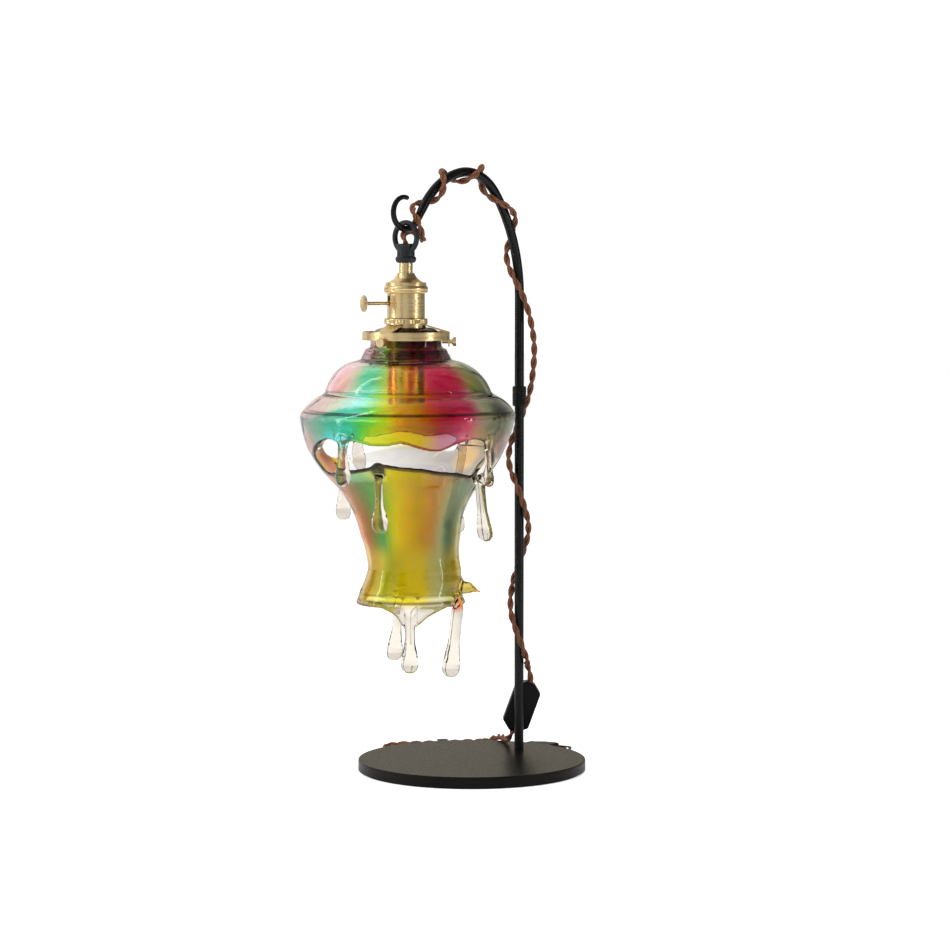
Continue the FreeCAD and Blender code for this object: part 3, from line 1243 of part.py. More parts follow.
def plug_shape():
    # The plug's own X runs from its cord to its pins.
    long = number("sizes.plug_long")
    wide = number("sizes.plug_wide") / 2
    neck = number("sizes.plug_neck") / 2
    thick = number("sizes.plug_thick")
    corners = [(0, -neck), (6, -neck), (14, -wide + 1), (long - 5, -wide), (long, -wide + 1.5),
               (long, wide - 1.5), (long - 5, wide), (14, wide - 1), (6, neck), (0, neck)]
    points = [vector(x, y, -thick / 2) for x, y in corners]
    shape = Part.Face(Part.makePolygon(points + [points[0]])).extrude(vector(0, 0, thick))
    rims = [edge for edge in shape.Edges if abs(abs(edge.CenterOfMass.z) - thick / 2) < 0.01]
    shape = shape.makeFillet(2.2, rims)
    level = number("sizes.hank_level") - number("sizes.plug_thick / 2 + 0.2")
    entry = Part.makeCylinder(number(f"{cord_radius} + sizes.fit_gap"), 4,
                              vector(-1.6, 0, level), vector(1, 0, 0))
    return shape.cut(entry).cut(pin_shape())


def pin_shape():
    long = number("sizes.plug_long")
    root = number("sizes.pin_root")
    pins = []
    for side in (-1, 1):
        blade = Part.makeBox(
            root + number("sizes.pin_long"), number("sizes.pin_thick"), number("sizes.pin_wide"),
            vector(long - root, side * number("sizes.pin_apart") / 2
                   - number("sizes.pin_thick") / 2, -number("sizes.pin_wide") / 2))
        tip_edges = [edge for edge in blade.Edges
                     if edge.CenterOfMass.x > long + number("sizes.pin_long") - 0.1
                     and edge.BoundBox.YLength > 0.5]
        blade = blade.makeFillet(2.0, tip_edges)
        hole = Part.makeCylinder(1.6, 10, vector(long + number("sizes.pin_long") - 4.5,
                                                 side * number("sizes.pin_apart") / 2 - 5, 0),
                                 vector(0, 1, 0))
        pins.append(blade.cut(hole))
    return Part.makeCompound(pins)


plug_body = feature("plug_moulding", plug_shape())
plug_body.Placement = plug_place
keep("plug_body", plug_body)
plug_pins = feature("plug_blades", pin_shape())
plug_pins.Placement = plug_place
keep("plug_pins", plug_pins)

# Every object has to be sound before anything is written.
doc.recompute()
for item in doc.Objects:
    if "Invalid" in item.State or "Error" in item.State:
        raise ValueError(f"{item.Label} did not build: {item.State}")
for node, item in parts.items():
    if item.Shape.isNull() or not item.Shape.isValid():
        raise ValueError(f"{node} has no sound shape")
os.makedirs("parts", exist_ok=True)
for node, item in parts.items():
    item.Shape.exportStep(f"parts/{node}.step")
print(len(parts), "pieces")
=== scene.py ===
"""Glass table lamp: a steel crook on a round foot, a keyed brass lampholder hung from the crook's
hook, a melted-glass shade and a twisted cord that winds down the post to a dimmer."""

import math

import bmesh
import bpy
import numpy
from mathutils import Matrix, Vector


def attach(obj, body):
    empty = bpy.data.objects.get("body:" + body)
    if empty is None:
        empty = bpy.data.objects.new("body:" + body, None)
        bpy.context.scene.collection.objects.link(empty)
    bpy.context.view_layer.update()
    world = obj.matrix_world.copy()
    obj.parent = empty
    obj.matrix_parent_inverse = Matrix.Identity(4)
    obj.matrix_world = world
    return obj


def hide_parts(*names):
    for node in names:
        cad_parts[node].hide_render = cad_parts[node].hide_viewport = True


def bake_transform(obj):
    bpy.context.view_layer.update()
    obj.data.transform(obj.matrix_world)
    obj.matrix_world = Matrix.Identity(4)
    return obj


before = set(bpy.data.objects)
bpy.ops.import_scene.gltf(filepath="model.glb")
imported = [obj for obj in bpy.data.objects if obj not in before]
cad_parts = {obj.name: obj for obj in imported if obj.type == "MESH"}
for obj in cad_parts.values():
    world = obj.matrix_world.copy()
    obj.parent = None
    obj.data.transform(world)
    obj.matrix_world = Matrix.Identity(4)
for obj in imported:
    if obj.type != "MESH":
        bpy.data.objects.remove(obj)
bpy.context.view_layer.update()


# Foot. A steel disc turned to size, dull black powder coat baked over it, with a soft pad
# glued below. The coat's fine orange peel spreads the light into a warm grey haze.
def linear(hex_colour):
    """An sRGB hex colour as the linear values that a shader takes."""
    channels = []
    for start in (1, 3, 5):
        value = int(hex_colour[start:start + 2], 16) / 255
        channels.append(value / 12.92 if value <= 0.04045 else ((value + 0.055) / 1.055) ** 2.4)
    return (*channels, 1.0)


def add_node(material, kind, inputs=(), **settings):
    """Adds one shader node; each input is a value or another node's output."""
    node = material.node_tree.nodes.new("ShaderNode" + kind)
    for name, value in settings.items():
        setattr(node, name, value)
    for socket, value in dict(inputs).items():
        if isinstance(value, bpy.types.NodeSocket):
            material.node_tree.links.new(value, node.inputs[socket])
        else:
            node.inputs[socket].default_value = value
    return node


def start_material(name, **sockets):
    """A new material and its surface shader, with the plain values on the shader's sockets."""
    material = bpy.data.materials.new(name)
    material.use_nodes = True
    shader = material.node_tree.nodes["Principled BSDF"]
    for socket, value in sockets.items():
        shader.inputs[socket.replace("_", " ")].default_value = value
    return material, shader


def join(material, output, socket):
    """Links an output to a socket of a node that is already there."""
    material.node_tree.links.new(output, socket)


def dress(material, *names):
    """Gives the CAD nodes of those names this material."""
    for name in names:
        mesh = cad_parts[name].data
        mesh.materials.clear()
        mesh.materials.append(material)


def colours(ramp, *stops):
    """Fills a colour ramp with (place, hex colour) stops."""
    elements = ramp.color_ramp.elements
    while len(elements) > 1:
        elements.remove(elements[-1])
    elements[0].position = stops[0][0]
    elements[0].color = linear(stops[0][1])
    for place, hex_colour in stops[1:]:
        elements.new(place).color = linear(hex_colour)
    return ramp.outputs["Color"]


def object_place(material):
    """The point on the lamp, in the metres of the shared frame."""
    return add_node(material, "TexCoord").outputs["Object"]


def per_mm(size):
    """How many repeats a metre holds of a pattern with that size in millimetres."""
    return 1000.0 / size


def coated_steel(name, body_hex, light_hex, roughness, grain, specular=0.5):
    """Powder coat on steel: a dull skin with a fine orange peel of that grain in millimetres."""
    material, shader = start_material(name, IOR=1.5, Specular_IOR_Level=specular)
    place = object_place(material)
    cloud = add_node(material, "TexNoise", {"Vector": place, "Scale": per_mm(45), "Detail": 3.0})
    tone = add_node(material, "ValToRGB", {"Fac": cloud.outputs["Fac"]})
    join(material, colours(tone, (0.35, body_hex), (0.7, light_hex)), shader.inputs["Base Color"])
    peel = add_node(material, "TexNoise", {"Vector": place, "Scale": per_mm(grain), "Detail": 4.0})
    gloss = add_node(material, "MapRange", {"Value": peel.outputs["Fac"], "From Min": 0.3,
                                            "From Max": 0.7, "To Min": roughness - 0.07,
                                            "To Max": roughness + 0.09})
    join(material, gloss.outputs["Result"], shader.inputs["Roughness"])
    bump = add_node(material, "Bump", {"Height": peel.outputs["Fac"], "Strength": 0.25,
                                       "Distance": 0.0002})
    join(material, bump.outputs["Normal"], shader.inputs["Normal"])
    return material


foot_coat = coated_steel("powder_coat_fine_texture", "#080705", "#0f0d0a", 0.34, 1.4, 0.12)
dress(foot_coat, "base_plate")

pad_felt, pad_shader = start_material("pressed_felt", Roughness=0.95)
fibre = add_node(pad_felt, "TexNoise", {"Vector": object_place(pad_felt), "Scale": per_mm(1.2),
                                        "Detail": 6.0})
fibre_tone = add_node(pad_felt, "ValToRGB", {"Fac": fibre.outputs["Fac"]})
join(pad_felt, colours(fibre_tone, (0.3, "#17181a"), (0.7, "#2c2d30")),
     pad_shader.inputs["Base Color"])
dress(pad_felt, "base_pad")


# Post and crook. Steel bar in satin black paint, which gives a long soft highlight down each
# side. The parts join on a stud inside a ribbed sleeve of the same colour.
crook_paint = coated_steel("satin_black_paint_on_steel", "#050506", "#0a0a0b", 0.3, 2.2, 0.22)
dress(crook_paint, "lower_post", "arm")
sleeve_paint = coated_steel("black_paint_on_ribbed_sleeve", "#060607", "#0c0c0d", 0.36, 1.6, 0.22)
dress(sleeve_paint, "coupling_collar")


def plain_metal(name, dark_hex, light_hex, roughness, grain):
    """A machined metal: fine turning marks that change its gloss, and a slight change of tone."""
    material, shader = start_material(name, Metallic=1.0)
    place = object_place(material)
    marks = add_node(material, "TexNoise", {"Vector": place, "Scale": per_mm(grain), "Detail": 3.0})
    tone = add_node(material, "ValToRGB", {"Fac": marks.outputs["Fac"]})
    join(material, colours(tone, (0.3, dark_hex), (0.7, light_hex)), shader.inputs["Base Color"])
    gloss = add_node(material, "MapRange", {"Value": marks.outputs["Fac"], "To Min": roughness - 0.08,
                                            "To Max": roughness + 0.08})
    join(material, gloss.outputs["Result"], shader.inputs["Roughness"])
    return material


zinc_steel = plain_metal("zinc_plated_steel", "#9a9c9e", "#b9bbbd", 0.32, 2.0)
dress(zinc_steel, "post_screw", "post_washer", "coupling_stud", "wheel_axle", "case_screws")


# Loop cap. A small iron casting, painted black, whose skin keeps the sand's grain; the ring on
# it hangs on the crook's hook, with a black bushing inside for the cord.
cast_paint = coated_steel("black_paint_on_cast_iron", "#0e1012", "#1d2023", 0.42, 2.6, 0.35)
dress(cast_paint, "loop_cap", "cord_grip")


# Lampholder. Spun and turned brass under clear lacquer: fine rings from the lathe run round
# every piece, so its highlights are long upright streaks.
def spun_brass(name, dark_hex, light_hex, roughness):
    """Spun brass: lathe rings 1.1 mm apart in its gloss, and patches of a slightly other tone."""
    material, shader = start_material(name, Metallic=1.0)
    place = object_place(material)
    stretched = add_node(material, "Mapping", {"Vector": place, "Scale": (12.0, 12.0, per_mm(1.1))})
    rings = add_node(material, "TexNoise", {"Vector": stretched.outputs["Vector"], "Scale": 1.0,
                                            "Detail": 3.0})
    cloud = add_node(material, "TexNoise", {"Vector": place, "Scale": per_mm(22), "Detail": 2.0})
    tone = add_node(material, "ValToRGB", {"Fac": cloud.outputs["Fac"]})
    join(material, colours(tone, (0.3, dark_hex), (0.7, light_hex)), shader.inputs["Base Color"])
    gloss = add_node(material, "MapRange", {"Value": rings.outputs["Fac"], "From Min": 0.3,
                                            "From Max": 0.7, "To Min": roughness - 0.06,
                                            "To Max": roughness + 0.08})
    join(material, gloss.outputs["Result"], shader.inputs["Roughness"])
    bump = add_node(material, "Bump", {"Height": rings.outputs["Fac"], "Strength": 0.12,
                                       "Distance": 0.0001})
    join(material, bump.outputs["Normal"], shader.inputs["Normal"])
    return material


brass = spun_brass("spun_brass_lacquered", "#e2c58c", "#ecd4a2", 0.3)
dress(brass, "neck_tube", "socket_cap", "socket_collar", "socket_body", "lower_collar",
      "gallery", "socket_skirt", "shade_clamp_ring", "key", "thumb_screw_1", "thumb_screw_2",
      "thumb_screw_3", "cap_screw")

nickel = plain_metal("nickel_plated_brass", "#b7b3ab", "#d2cfc8", 0.22, 3.0)
dress(nickel, "screw_shell", "centre_contact", "plug_pins")

porcelain, porcelain_shader = start_material("glazed_porcelain", Roughness=0.18, IOR=1.5)
glaze = add_node(porcelain, "TexNoise", {"Vector": object_place(porcelain), "Scale": per_mm(9),
                                         "Detail": 2.0})
glaze_tone = add_node(porcelain, "ValToRGB", {"Fac": glaze.outputs["Fac"]})
join(porcelain, colours(glaze_tone, (0.3, "#e6e2d8"), (0.7, "#f3f0e8")),
     porcelain_shader.inputs["Base Color"])
dress(porcelain, "socket_insulator")


def moulding(name, dark_hex, light_hex, roughness, grain):
    """Plastic from a spark-eroded mould: an even fine grain with a low gloss."""
    material, shader = start_material(name, IOR=1.5, Specular_IOR_Level=0.15)
    place = object_place(material)
    spark = add_node(material, "TexNoise", {"Vector": place, "Scale": per_mm(grain), "Detail": 5.0})
    tone = add_node(material, "ValToRGB", {"Fac": spark.outputs["Fac"]})
    join(material, colours(tone, (0.3, dark_hex), (0.7, light_hex)), shader.inputs["Base Color"])
    gloss = add_node(material, "MapRange", {"Value": spark.outputs["Fac"], "To Min": roughness - 0.08,
                                            "To Max": roughness + 0.1})
    join(material, gloss.outputs["Result"], shader.inputs["Roughness"])
    bump = add_node(material, "Bump", {"Height": spark.outputs["Fac"], "Strength": 0.2,
                                       "Distance": 0.0001})
    join(material, bump.outputs["Normal"], shader.inputs["Normal"])
    return material


switch_plastic = moulding("black_phenolic_moulding", "#15100d", "#221a15", 0.4, 1.5)
dress(switch_plastic, "switch_block", "socket_leads")


# Cord. Two rubber-covered cores, each in a braid of reddish brown rayon, twisted together. It
# leaves the loop cap inside its ring, winds down the crook and the post and enters the dimmer.
def metres(*points):
    """Points in millimetres as vectors in metres."""
    return [Vector(point) / 1000 for point in points]


def route_line(name, points):
    """The smooth line that a cord's route gives, as a chain of points in metres."""
    curve = bpy.data.curves.new(name, "CURVE")
    curve.dimensions = "3D"
    curve.resolution_u = 8
    spline = curve.splines.new("NURBS")
    spline.points.add(len(points) - 1)
    for control, point in zip(spline.points, points):
        control.co = (*point, 1.0)
    spline.order_u = 3
    spline.use_endpoint_u = True
    holder = bpy.data.objects.new(name, curve)
    bpy.context.scene.collection.objects.link(holder)
    mesh = bpy.data.meshes.new_from_object(holder)
    line = [vertex.co.copy() for vertex in mesh.vertices]
    bpy.data.objects.remove(holder)
    bpy.data.meshes.remove(mesh)
    return line


def even_steps(line, step):
    """The same chain, read at even steps."""
    reach = [0.0]
    for before, after in zip(line, line[1:]):
        reach.append(reach[-1] + (after - before).length)
    count = max(2, round(reach[-1] / step))
    spots = []
    index = 0
    for number in range(count + 1):
        wanted = reach[-1] * number / count
        while index < len(reach) - 2 and reach[index + 1] < wanted:
            index += 1
        span = max(reach[index + 1] - reach[index], 1e-9)
        spots.append(line[index].lerp(line[index + 1], (wanted - reach[index]) / span))
    return spots, reach[-1] / count


cord_width = 0.0066
core_width = 0.0034
twist_pitch = 0.0275
ring_gap = 0.0013


def twisted_cores(name, line, start_angle, sides=10):
    """Two cores wound round each other along the line, as one mesh with a braid map."""
    spots, step = even_steps(line, ring_gap)
    headings = [(after - before).normalized() for before, after in zip(spots, spots[1:])]
    headings.append(headings[-1])
    across = headings[0].orthogonal().normalized()
    mesh = bmesh.new()
    braid = mesh.loops.layers.uv.new("braid")
    rings = {0: [], 1: []}
    for number, (spot, heading) in enumerate(zip(spots, headings)):
        across = (across - heading * across.dot(heading)).normalized()
        up = heading.cross(across)
        # The braid is up to a twentieth thicker or thinner, in an uneven rhythm.
        lump = 1 + 0.05 * math.sin(number * 0.83) * math.sin(number * 0.31 + 1)
        turn = start_angle + 2 * math.pi * number * step / twist_pitch
        for core in (0, 1):
            angle = turn + math.pi * core
            out = across * math.cos(angle) + up * math.sin(angle)
            side = heading.cross(out)
            middle = spot + out * (cord_width - core_width) / 2
            ring = []
            for corner in range(sides):
                around = 2 * math.pi * corner / sides
                spoke = out * math.cos(around) + side * math.sin(around)
                ring.append(mesh.verts.new(middle + spoke * core_width / 2 * lump))
            rings[core].append(ring)
    for core in (0, 1):
        for number, (ring, following) in enumerate(zip(rings[core], rings[core][1:])):
            for corner in range(sides):
                beside = (corner + 1) % sides
                face = mesh.faces.new((ring[corner], ring[beside], following[beside],
                                       following[corner]))
                face.smooth = True
                places = ((corner, number), (corner + 1, number), (corner + 1, number + 1),
                          (corner, number + 1))
                for loop, (around, along) in zip(face.loops, places):
                    loop[braid].uv = (around / sides, along * step * 1000)
        mesh.faces.new(reversed(rings[core][0]))
        mesh.faces.new(rings[core][-1])
    data = bpy.data.meshes.new(name)
    mesh.to_mesh(data)
    mesh.free()
    piece = bpy.data.objects.new(name, data)
    bpy.context.scene.collection.objects.link(piece)
    return piece, spots


rayon, rayon_shader = start_material("rayon_braid", Roughness=0.5, Sheen_Weight=0.1,
                                     Sheen_Roughness=0.4)
rayon_map = add_node(rayon, "UVMap", uv_map="braid")
rayon_parts = add_node(rayon, "SeparateXYZ", {"Vector": rayon_map.outputs["UV"]})
# Two families of threads cross: four threads side by side round a core, 2 mm apart along it, so
# that each goes once round in 8 mm. They are drawn coarse so that they show.
threads_round = 4
thread_gap = 2.0
thread_waves = []
for lean in (1.0, -1.0):
    along = add_node(rayon, "Math", {0: rayon_parts.outputs["Y"],
                                     1: lean * 2 * math.pi / thread_gap}, operation="MULTIPLY")
    around = add_node(rayon, "Math", {0: rayon_parts.outputs["X"], 1: 2 * math.pi * threads_round,
                                      2: along.outputs["Value"]}, operation="MULTIPLY_ADD")
    thread_waves.append(add_node(rayon, "Math", {0: around.outputs["Value"]}, operation="SINE"))
thread_height = add_node(rayon, "Math", {0: thread_waves[0].outputs["Value"],
                                         1: thread_waves[1].outputs["Value"]},
                         operation="MAXIMUM")
thread_share = add_node(rayon, "MapRange", {"Value": thread_height.outputs["Value"],
                                            "From Min": -0.4, "From Max": 1.0})
# The braid's colour follows the threads' height: painted shade in the valleys between the threads and
# painted highlight on their crests.
thread_painted_shading = add_node(rayon, "ValToRGB", {"Fac": thread_share.outputs["Result"]})
join(rayon, colours(thread_painted_shading, (0.0, "#180b09"), (0.45, "#482214"), (1.0, "#94562a")),
     rayon_shader.inputs["Base Color"])
thread_bump = add_node(rayon, "Bump", {"Height": thread_share.outputs["Result"],
                                       "Strength": 0.55, "Distance": 0.0003})
join(rayon, thread_bump.outputs["Normal"], rayon_shader.inputs["Normal"])

down_route = metres(
    (-96.2, 0, 519), (-96.2, 0, 529.3), (-95.4, 3.6, 533.2), (-92.9, 6.3, 536.2),
    (-88.9, 7.2, 537.9), (-85.5, 7.2, 537.9), (-81.8, 7.2, 537.9), (-77.4, 4.6, 537.2),
    (-74.7, -0.6, 533.4), (-77.8, -6.4, 530), (-84, -10.3, 531.3), (-87.3, -12.4, 538),
    (-86.8, -9, 547), (-87.7, -3.7, 555), (-85, 1.5, 560), (-76.5, 8.5, 564.5),
    (-65, 8.5, 567), (-57, 4, 567.5), (-53, -3.5, 571), (-52.5, -9.5, 578.5),
    (-51, -9.5, 587), (-49.5, -6, 594), (-41.5, 3.5, 598.5), (-29, 10.5, 596.5),
    (-21.5, 9, 591), (-17.5, 4.5, 588), (-13.5, -2, 588.5), (-9, -7.5, 591.5),
    (-3, -9.5, 596), (4.5, -8.5, 601.5), (14.5, -0.5, 603.5), (21.5, 8, 597),
    (22.5, 9.5, 587.5), (23.5, 6, 580), (26, 0, 573.5), (32, -6, 569), (40, -9, 565.5),
    (49.5, -10, 560.5), (61, -4.5, 552.5), (67.5, 3, 543.5), (67.5, 7.5, 534),
    (65.5, 10, 524.5), (62, 9, 514.5), (60.5, 4, 504), (61.5, -1, 493.5),
    (64.5, -6, 483.5), (68.5, -9.5, 472.5), (72.5, -12, 459), (76.5, -13, 444.5),
    (80, -13, 429.5), (82.5, -11.5, 415), (83.5, -9, 399.5), (84.5, -6, 385.5),
    (85, -1.5, 371.5), (83, 3, 358), (80, 7, 345), (75, 10, 333), (69, 10, 320),
    (63.5, 7, 308), (62, 1.5, 295.5), (63.5, -4, 284), (66.5, -8, 271), (71.5, -10, 256),
    (78.5, -8, 240), (82.5, -1.5, 224), (81.5, 4.5, 209.5), (77.5, 8.5, 195),
    (73, 10, 180), (66.5, 7, 163.5), (62.5, 1.5, 148), (63.5, -4, 134.5),
    (65.9, -10.6, 118.7), (69, -11.8, 109.1), (77.8, -6.8, 99.7), (83.8, -0.1, 99.3),
    (90.1, 2.6, 93.3), (92.4, 0.4, 81.8), (90.8, 2.1, 75.2),
)
down_cord, down_spots = twisted_cores("twisted_cord_down_the_post",
                                      route_line("down_route", down_route), 0.4)
down_cord.data.materials.append(rayon)
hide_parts("cord_lead", "cord_main")
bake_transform(down_cord)

# The rest of the cord. It runs from the dimmer over the back of the foot and is put away there,
# folded into a flat hank of four runs with a tie round its waist; the plug lies beside it.
hank_angle = 53.6
hank_reach = 136.6
hank_height = 3.8


def hank_place(right, offset):
    """A place in the hank: degrees to the right of its middle, and offset outwards in mm."""
    angle = math.radians(hank_angle - right)
    outwards = Vector((math.cos(angle), math.sin(angle), 0))
    return outwards * (hank_reach + offset) + Vector((0, 0, hank_height))


def hank_way(right, side):
    """The heading of a run there: side 1 goes to the right, and side -1 to the left."""
    angle = math.radians(hank_angle - right - 90 * side)
    return Vector((math.cos(angle), math.sin(angle), 0))


def hank_stops():
    """Where the hank's line passes, with its heading there: run ends, waists and fold tops."""
    run_step, fold, fold_step, spread = 7.1, 10.6, 7.1, 20.0
    corners = [(6, run_step * 0.625, -1), (0, run_step / 2, -1)]
    corners += [(-spread, fold, -1), (-spread, -fold, 1), (0, -run_step / 2, 1)]
    corners += [(spread, -fold, 1), (spread, fold + fold_step, -1), (0, run_step * 1.5, -1)]
    corners += [(-spread, fold + fold_step, -1), (-spread, -fold - fold_step, 1)]
    corners += [(0, -run_step * 1.5, 1), (spread, -fold - fold_step, 1)]
    stops = []
    for corner, following in zip(corners, corners[1:] + [corners[0]]):
        right, offset, side = corner
        stops.append((hank_place(right, offset), hank_way(right, side)))
        if following[0] == right and following[2] == -side:
            across = hank_place(*following[:2]) - hank_place(right, offset)
            top = hank_place(right, offset) + across / 2 + hank_way(right, side) * across.length / 2
            stops.append((top, across.normalized()))
    return stops


def corners_between(start, heading, end, last_heading):
    """The two corners of a route that leaves and arrives with those headings."""
    chord = end - start
    both = heading + last_heading
    spare = 2 * (1 - heading.dot(last_heading))
    along = chord.dot(both)
    reach = (math.sqrt(along ** 2 + spare * chord.dot(chord)) - along) / spare
    return [start + heading * reach, end - last_heading * reach]


stops = hank_stops()
lead_in = 17.6
lead_out = 13.6
plug_angle = math.radians(-79.4)
plug_way = Vector((math.cos(plug_angle), math.sin(plug_angle), 0))
spare_route = [Vector(point) for point in (
    (80.7, 13.5, 33.4), (79, 15.4, 26.6), (80.6, 20.7, 20.8), (87, 28.5, 16.9),
    (95.6, 38.4, 15.9), (102.6, 48.6, 15.8), (108.1, 57.8, 14.6), (113.2, 67.6, 11.9),
    (113.8, 80.4, 7),
)]
spare_route.append(stops[0][0] - stops[0][1] * lead_in)
for (start, heading), (end, last_heading) in zip(stops, stops[1:]):
    spare_route += corners_between(start, heading, end, last_heading)
spare_route += [stops[-1][0] + stops[-1][1] * lead_out, Vector((115.4, 49.4, hank_height)),
                Vector((121, 40.5, hank_height)),
                Vector((122.7, 31.8, hank_height)) + plug_way * 2]
spare_cord, spare_spots = twisted_cores(
    "twisted_cord_put_away", route_line("spare_route", [point / 1000 for point in spare_route]),
    1.1, sides=8)
spare_cord.data.materials.append(rayon)
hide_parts("cord_tail", "cord_hank", "cord_end")
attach(spare_cord, "stand")

cord_plastic = moulding("black_cord_set_moulding", "#0f0f10", "#1a1a1c", 0.42, 1.6)
dress(cord_plastic, "hank_tie", "plug_body")


# Dimmer. A two-part ABS box on the cord, held by two screws, with a ribbed wheel that stands
# out of its side and turns a potentiometer on the board inside.
dimmer_plastic = moulding("black_abs_moulding", "#050506", "#0b0b0c", 0.36, 1.5)
dress(dimmer_plastic, "dimmer_case_front", "dimmer_case_back", "dimmer_wheel")
fibreboard = moulding("green_fibreboard", "#1d3b27", "#2a5236", 0.45, 2.0)
dress(fibreboard, "dimmer_board")


# Shade. Thick blown glass in rainbow tints, slumped in the kiln so that its skin has run: two
# melted slots, and drips that hang from every edge. Brass screws in the gallery hold its neck.
pendant_axis = Vector((-0.0962, 0.0, 0.0))
axis_point = numpy.array(pendant_axis)
# The photograph looks along this heading, in degrees; the shade's front faces it.
view_heading = 41.6
front = math.radians(view_heading + 180)

shade = bpy.data.objects.new("melted_glass_shade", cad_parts["glass_shade"].data.copy())
bpy.context.scene.collection.objects.link(shade)


def shape_with(piece, kind, **settings):
    """Gives the piece a modifier and applies it to the mesh."""
    modifier = piece.modifiers.new(kind.lower(), kind)
    for name, value in settings.items():
        setattr(modifier, name, value)
    graph = bpy.context.evaluated_depsgraph_get()
    changed = bpy.data.meshes.new_from_object(piece.evaluated_get(graph))
    piece.modifiers.clear()
    piece.data = changed


shape_with(shade, "REMESH", mode="VOXEL", voxel_size=0.0013, use_smooth_shade=True)
shape_with(shade, "SMOOTH", factor=0.5, iterations=10)
for polygon in shade.data.polygons:
    polygon.use_smooth = True


def mesh_numbers(layer, field, width, kind="f4"):
    """One field of a mesh layer, a row for each of its elements."""
    values = numpy.empty(len(layer) * width, dtype=kind)
    layer.foreach_get(field, values)
    return values.reshape(-1, width)


def soft_step(value, start, end):
    """A share that goes smoothly from 0 at start to 1 at end."""
    step = numpy.clip((value - start) / (end - start), 0, 1)
    return step * step * (3 - 2 * step)


glass_points = mesh_numbers(shade.data.vertices, "co", 3).astype(float)
glass_normals = mesh_numbers(shade.data.vertices, "normal", 3)
glass_edges = mesh_numbers(shade.data.edges, "vertices", 2, "i4")
right = numpy.array((-math.sin(front), math.cos(front), 0))
place = (glass_points - axis_point) * 1000
radius = numpy.hypot(place[:, 0], place[:, 1])
outwards = place * (1, 1, 0) / numpy.maximum(radius, 1)[:, None]

# The middle of the wall at each height, up from the mouth: 2 mm inside its outer skin.
mouth_height = 182
level_step = 2
skin_depth = 2
level = (numpy.maximum(place[:, 2], mouth_height) / level_step).astype(int)
skin = (glass_normals * outwards).sum(axis=1) > 0.3
wall_middle = numpy.array([numpy.median(radius[(level == step) & skin])
                           if numpy.any((level == step) & skin) else 0
                           for step in range(level.max() + 1)]) - skin_depth


def solid_radius(along, length, stem, drop, root):
    """The radius that the solid's drip has at each depth below its start: a root that narrows to
    the stem, a flare above the ball, and the ball."""
    taper = min(0.45 * length, 14)
    stem_radius = stem / 2 + (root - stem) / 2 * numpy.clip(1 - along / taper, 0, 1) ** 2
    below_ball = along - length + drop / 2
    ball = numpy.sqrt(numpy.clip(drop ** 2 / 4 - below_ball ** 2, 0, None))
    flare = numpy.clip((below_ball / drop + 0.8) / 0.478, 0, 1) ** 1.2
    flared = stem / 2 + (0.3825 * drop - stem / 2) * flare
    above = below_ball < 0
    return numpy.maximum(numpy.maximum(stem_radius * above, ball), flared * above)


# Every drip flows out of its edge, and its stem swells into a drop over its last two widths.
# Each is its angle right of the front, its distance from the axis, the depth below the neck's top
# at which it starts, its length, the widths of its stem, its drop and its root, its lean, and how
# far its end has drawn aside and down. The last is the thorn, which tapers to its point.
neck_top = 446.5
drips = (
    (-37, 98.3, 106, 43, 9.0, 15.5, 13, 0, 0, 1),
    (-17, 87.0, 131, 63, 8.0, 16.0, 13, 0, 0, 0),
    (53.5, 98.1, 106, 43, 7.0, 11.5, 11, 0, 0, 3),
    (55, 86.3, 139, 64, 10.0, 15.5, 14, 0, 1, 2),
    (-149, 98.1, 107, 36, 9.0, 15.0, 13, 0, 0, 5),
    (-131, 86.8, 133, 61, 9.0, 15.5, 13, 0, 0, 0),
    (145, 98.1, 107, 102, 9.0, 15.0, 13, 0, -12, 0),
    (-166, 46.8, 265, 61, 9.0, 15.5, 12, 0, -4.5, 7),
    (0, 46.8, 266, 67, 9.5, 16.3, 14, 0, 0, 0),
    (66, 46.8, 265, 76, 12.0, 18.0, 16, -6, 0, 0),
    (90, 44.5, 253, 25, 6.0, 4.2, 19, 74, 0, -4),
)
clear = numpy.zeros(len(place))
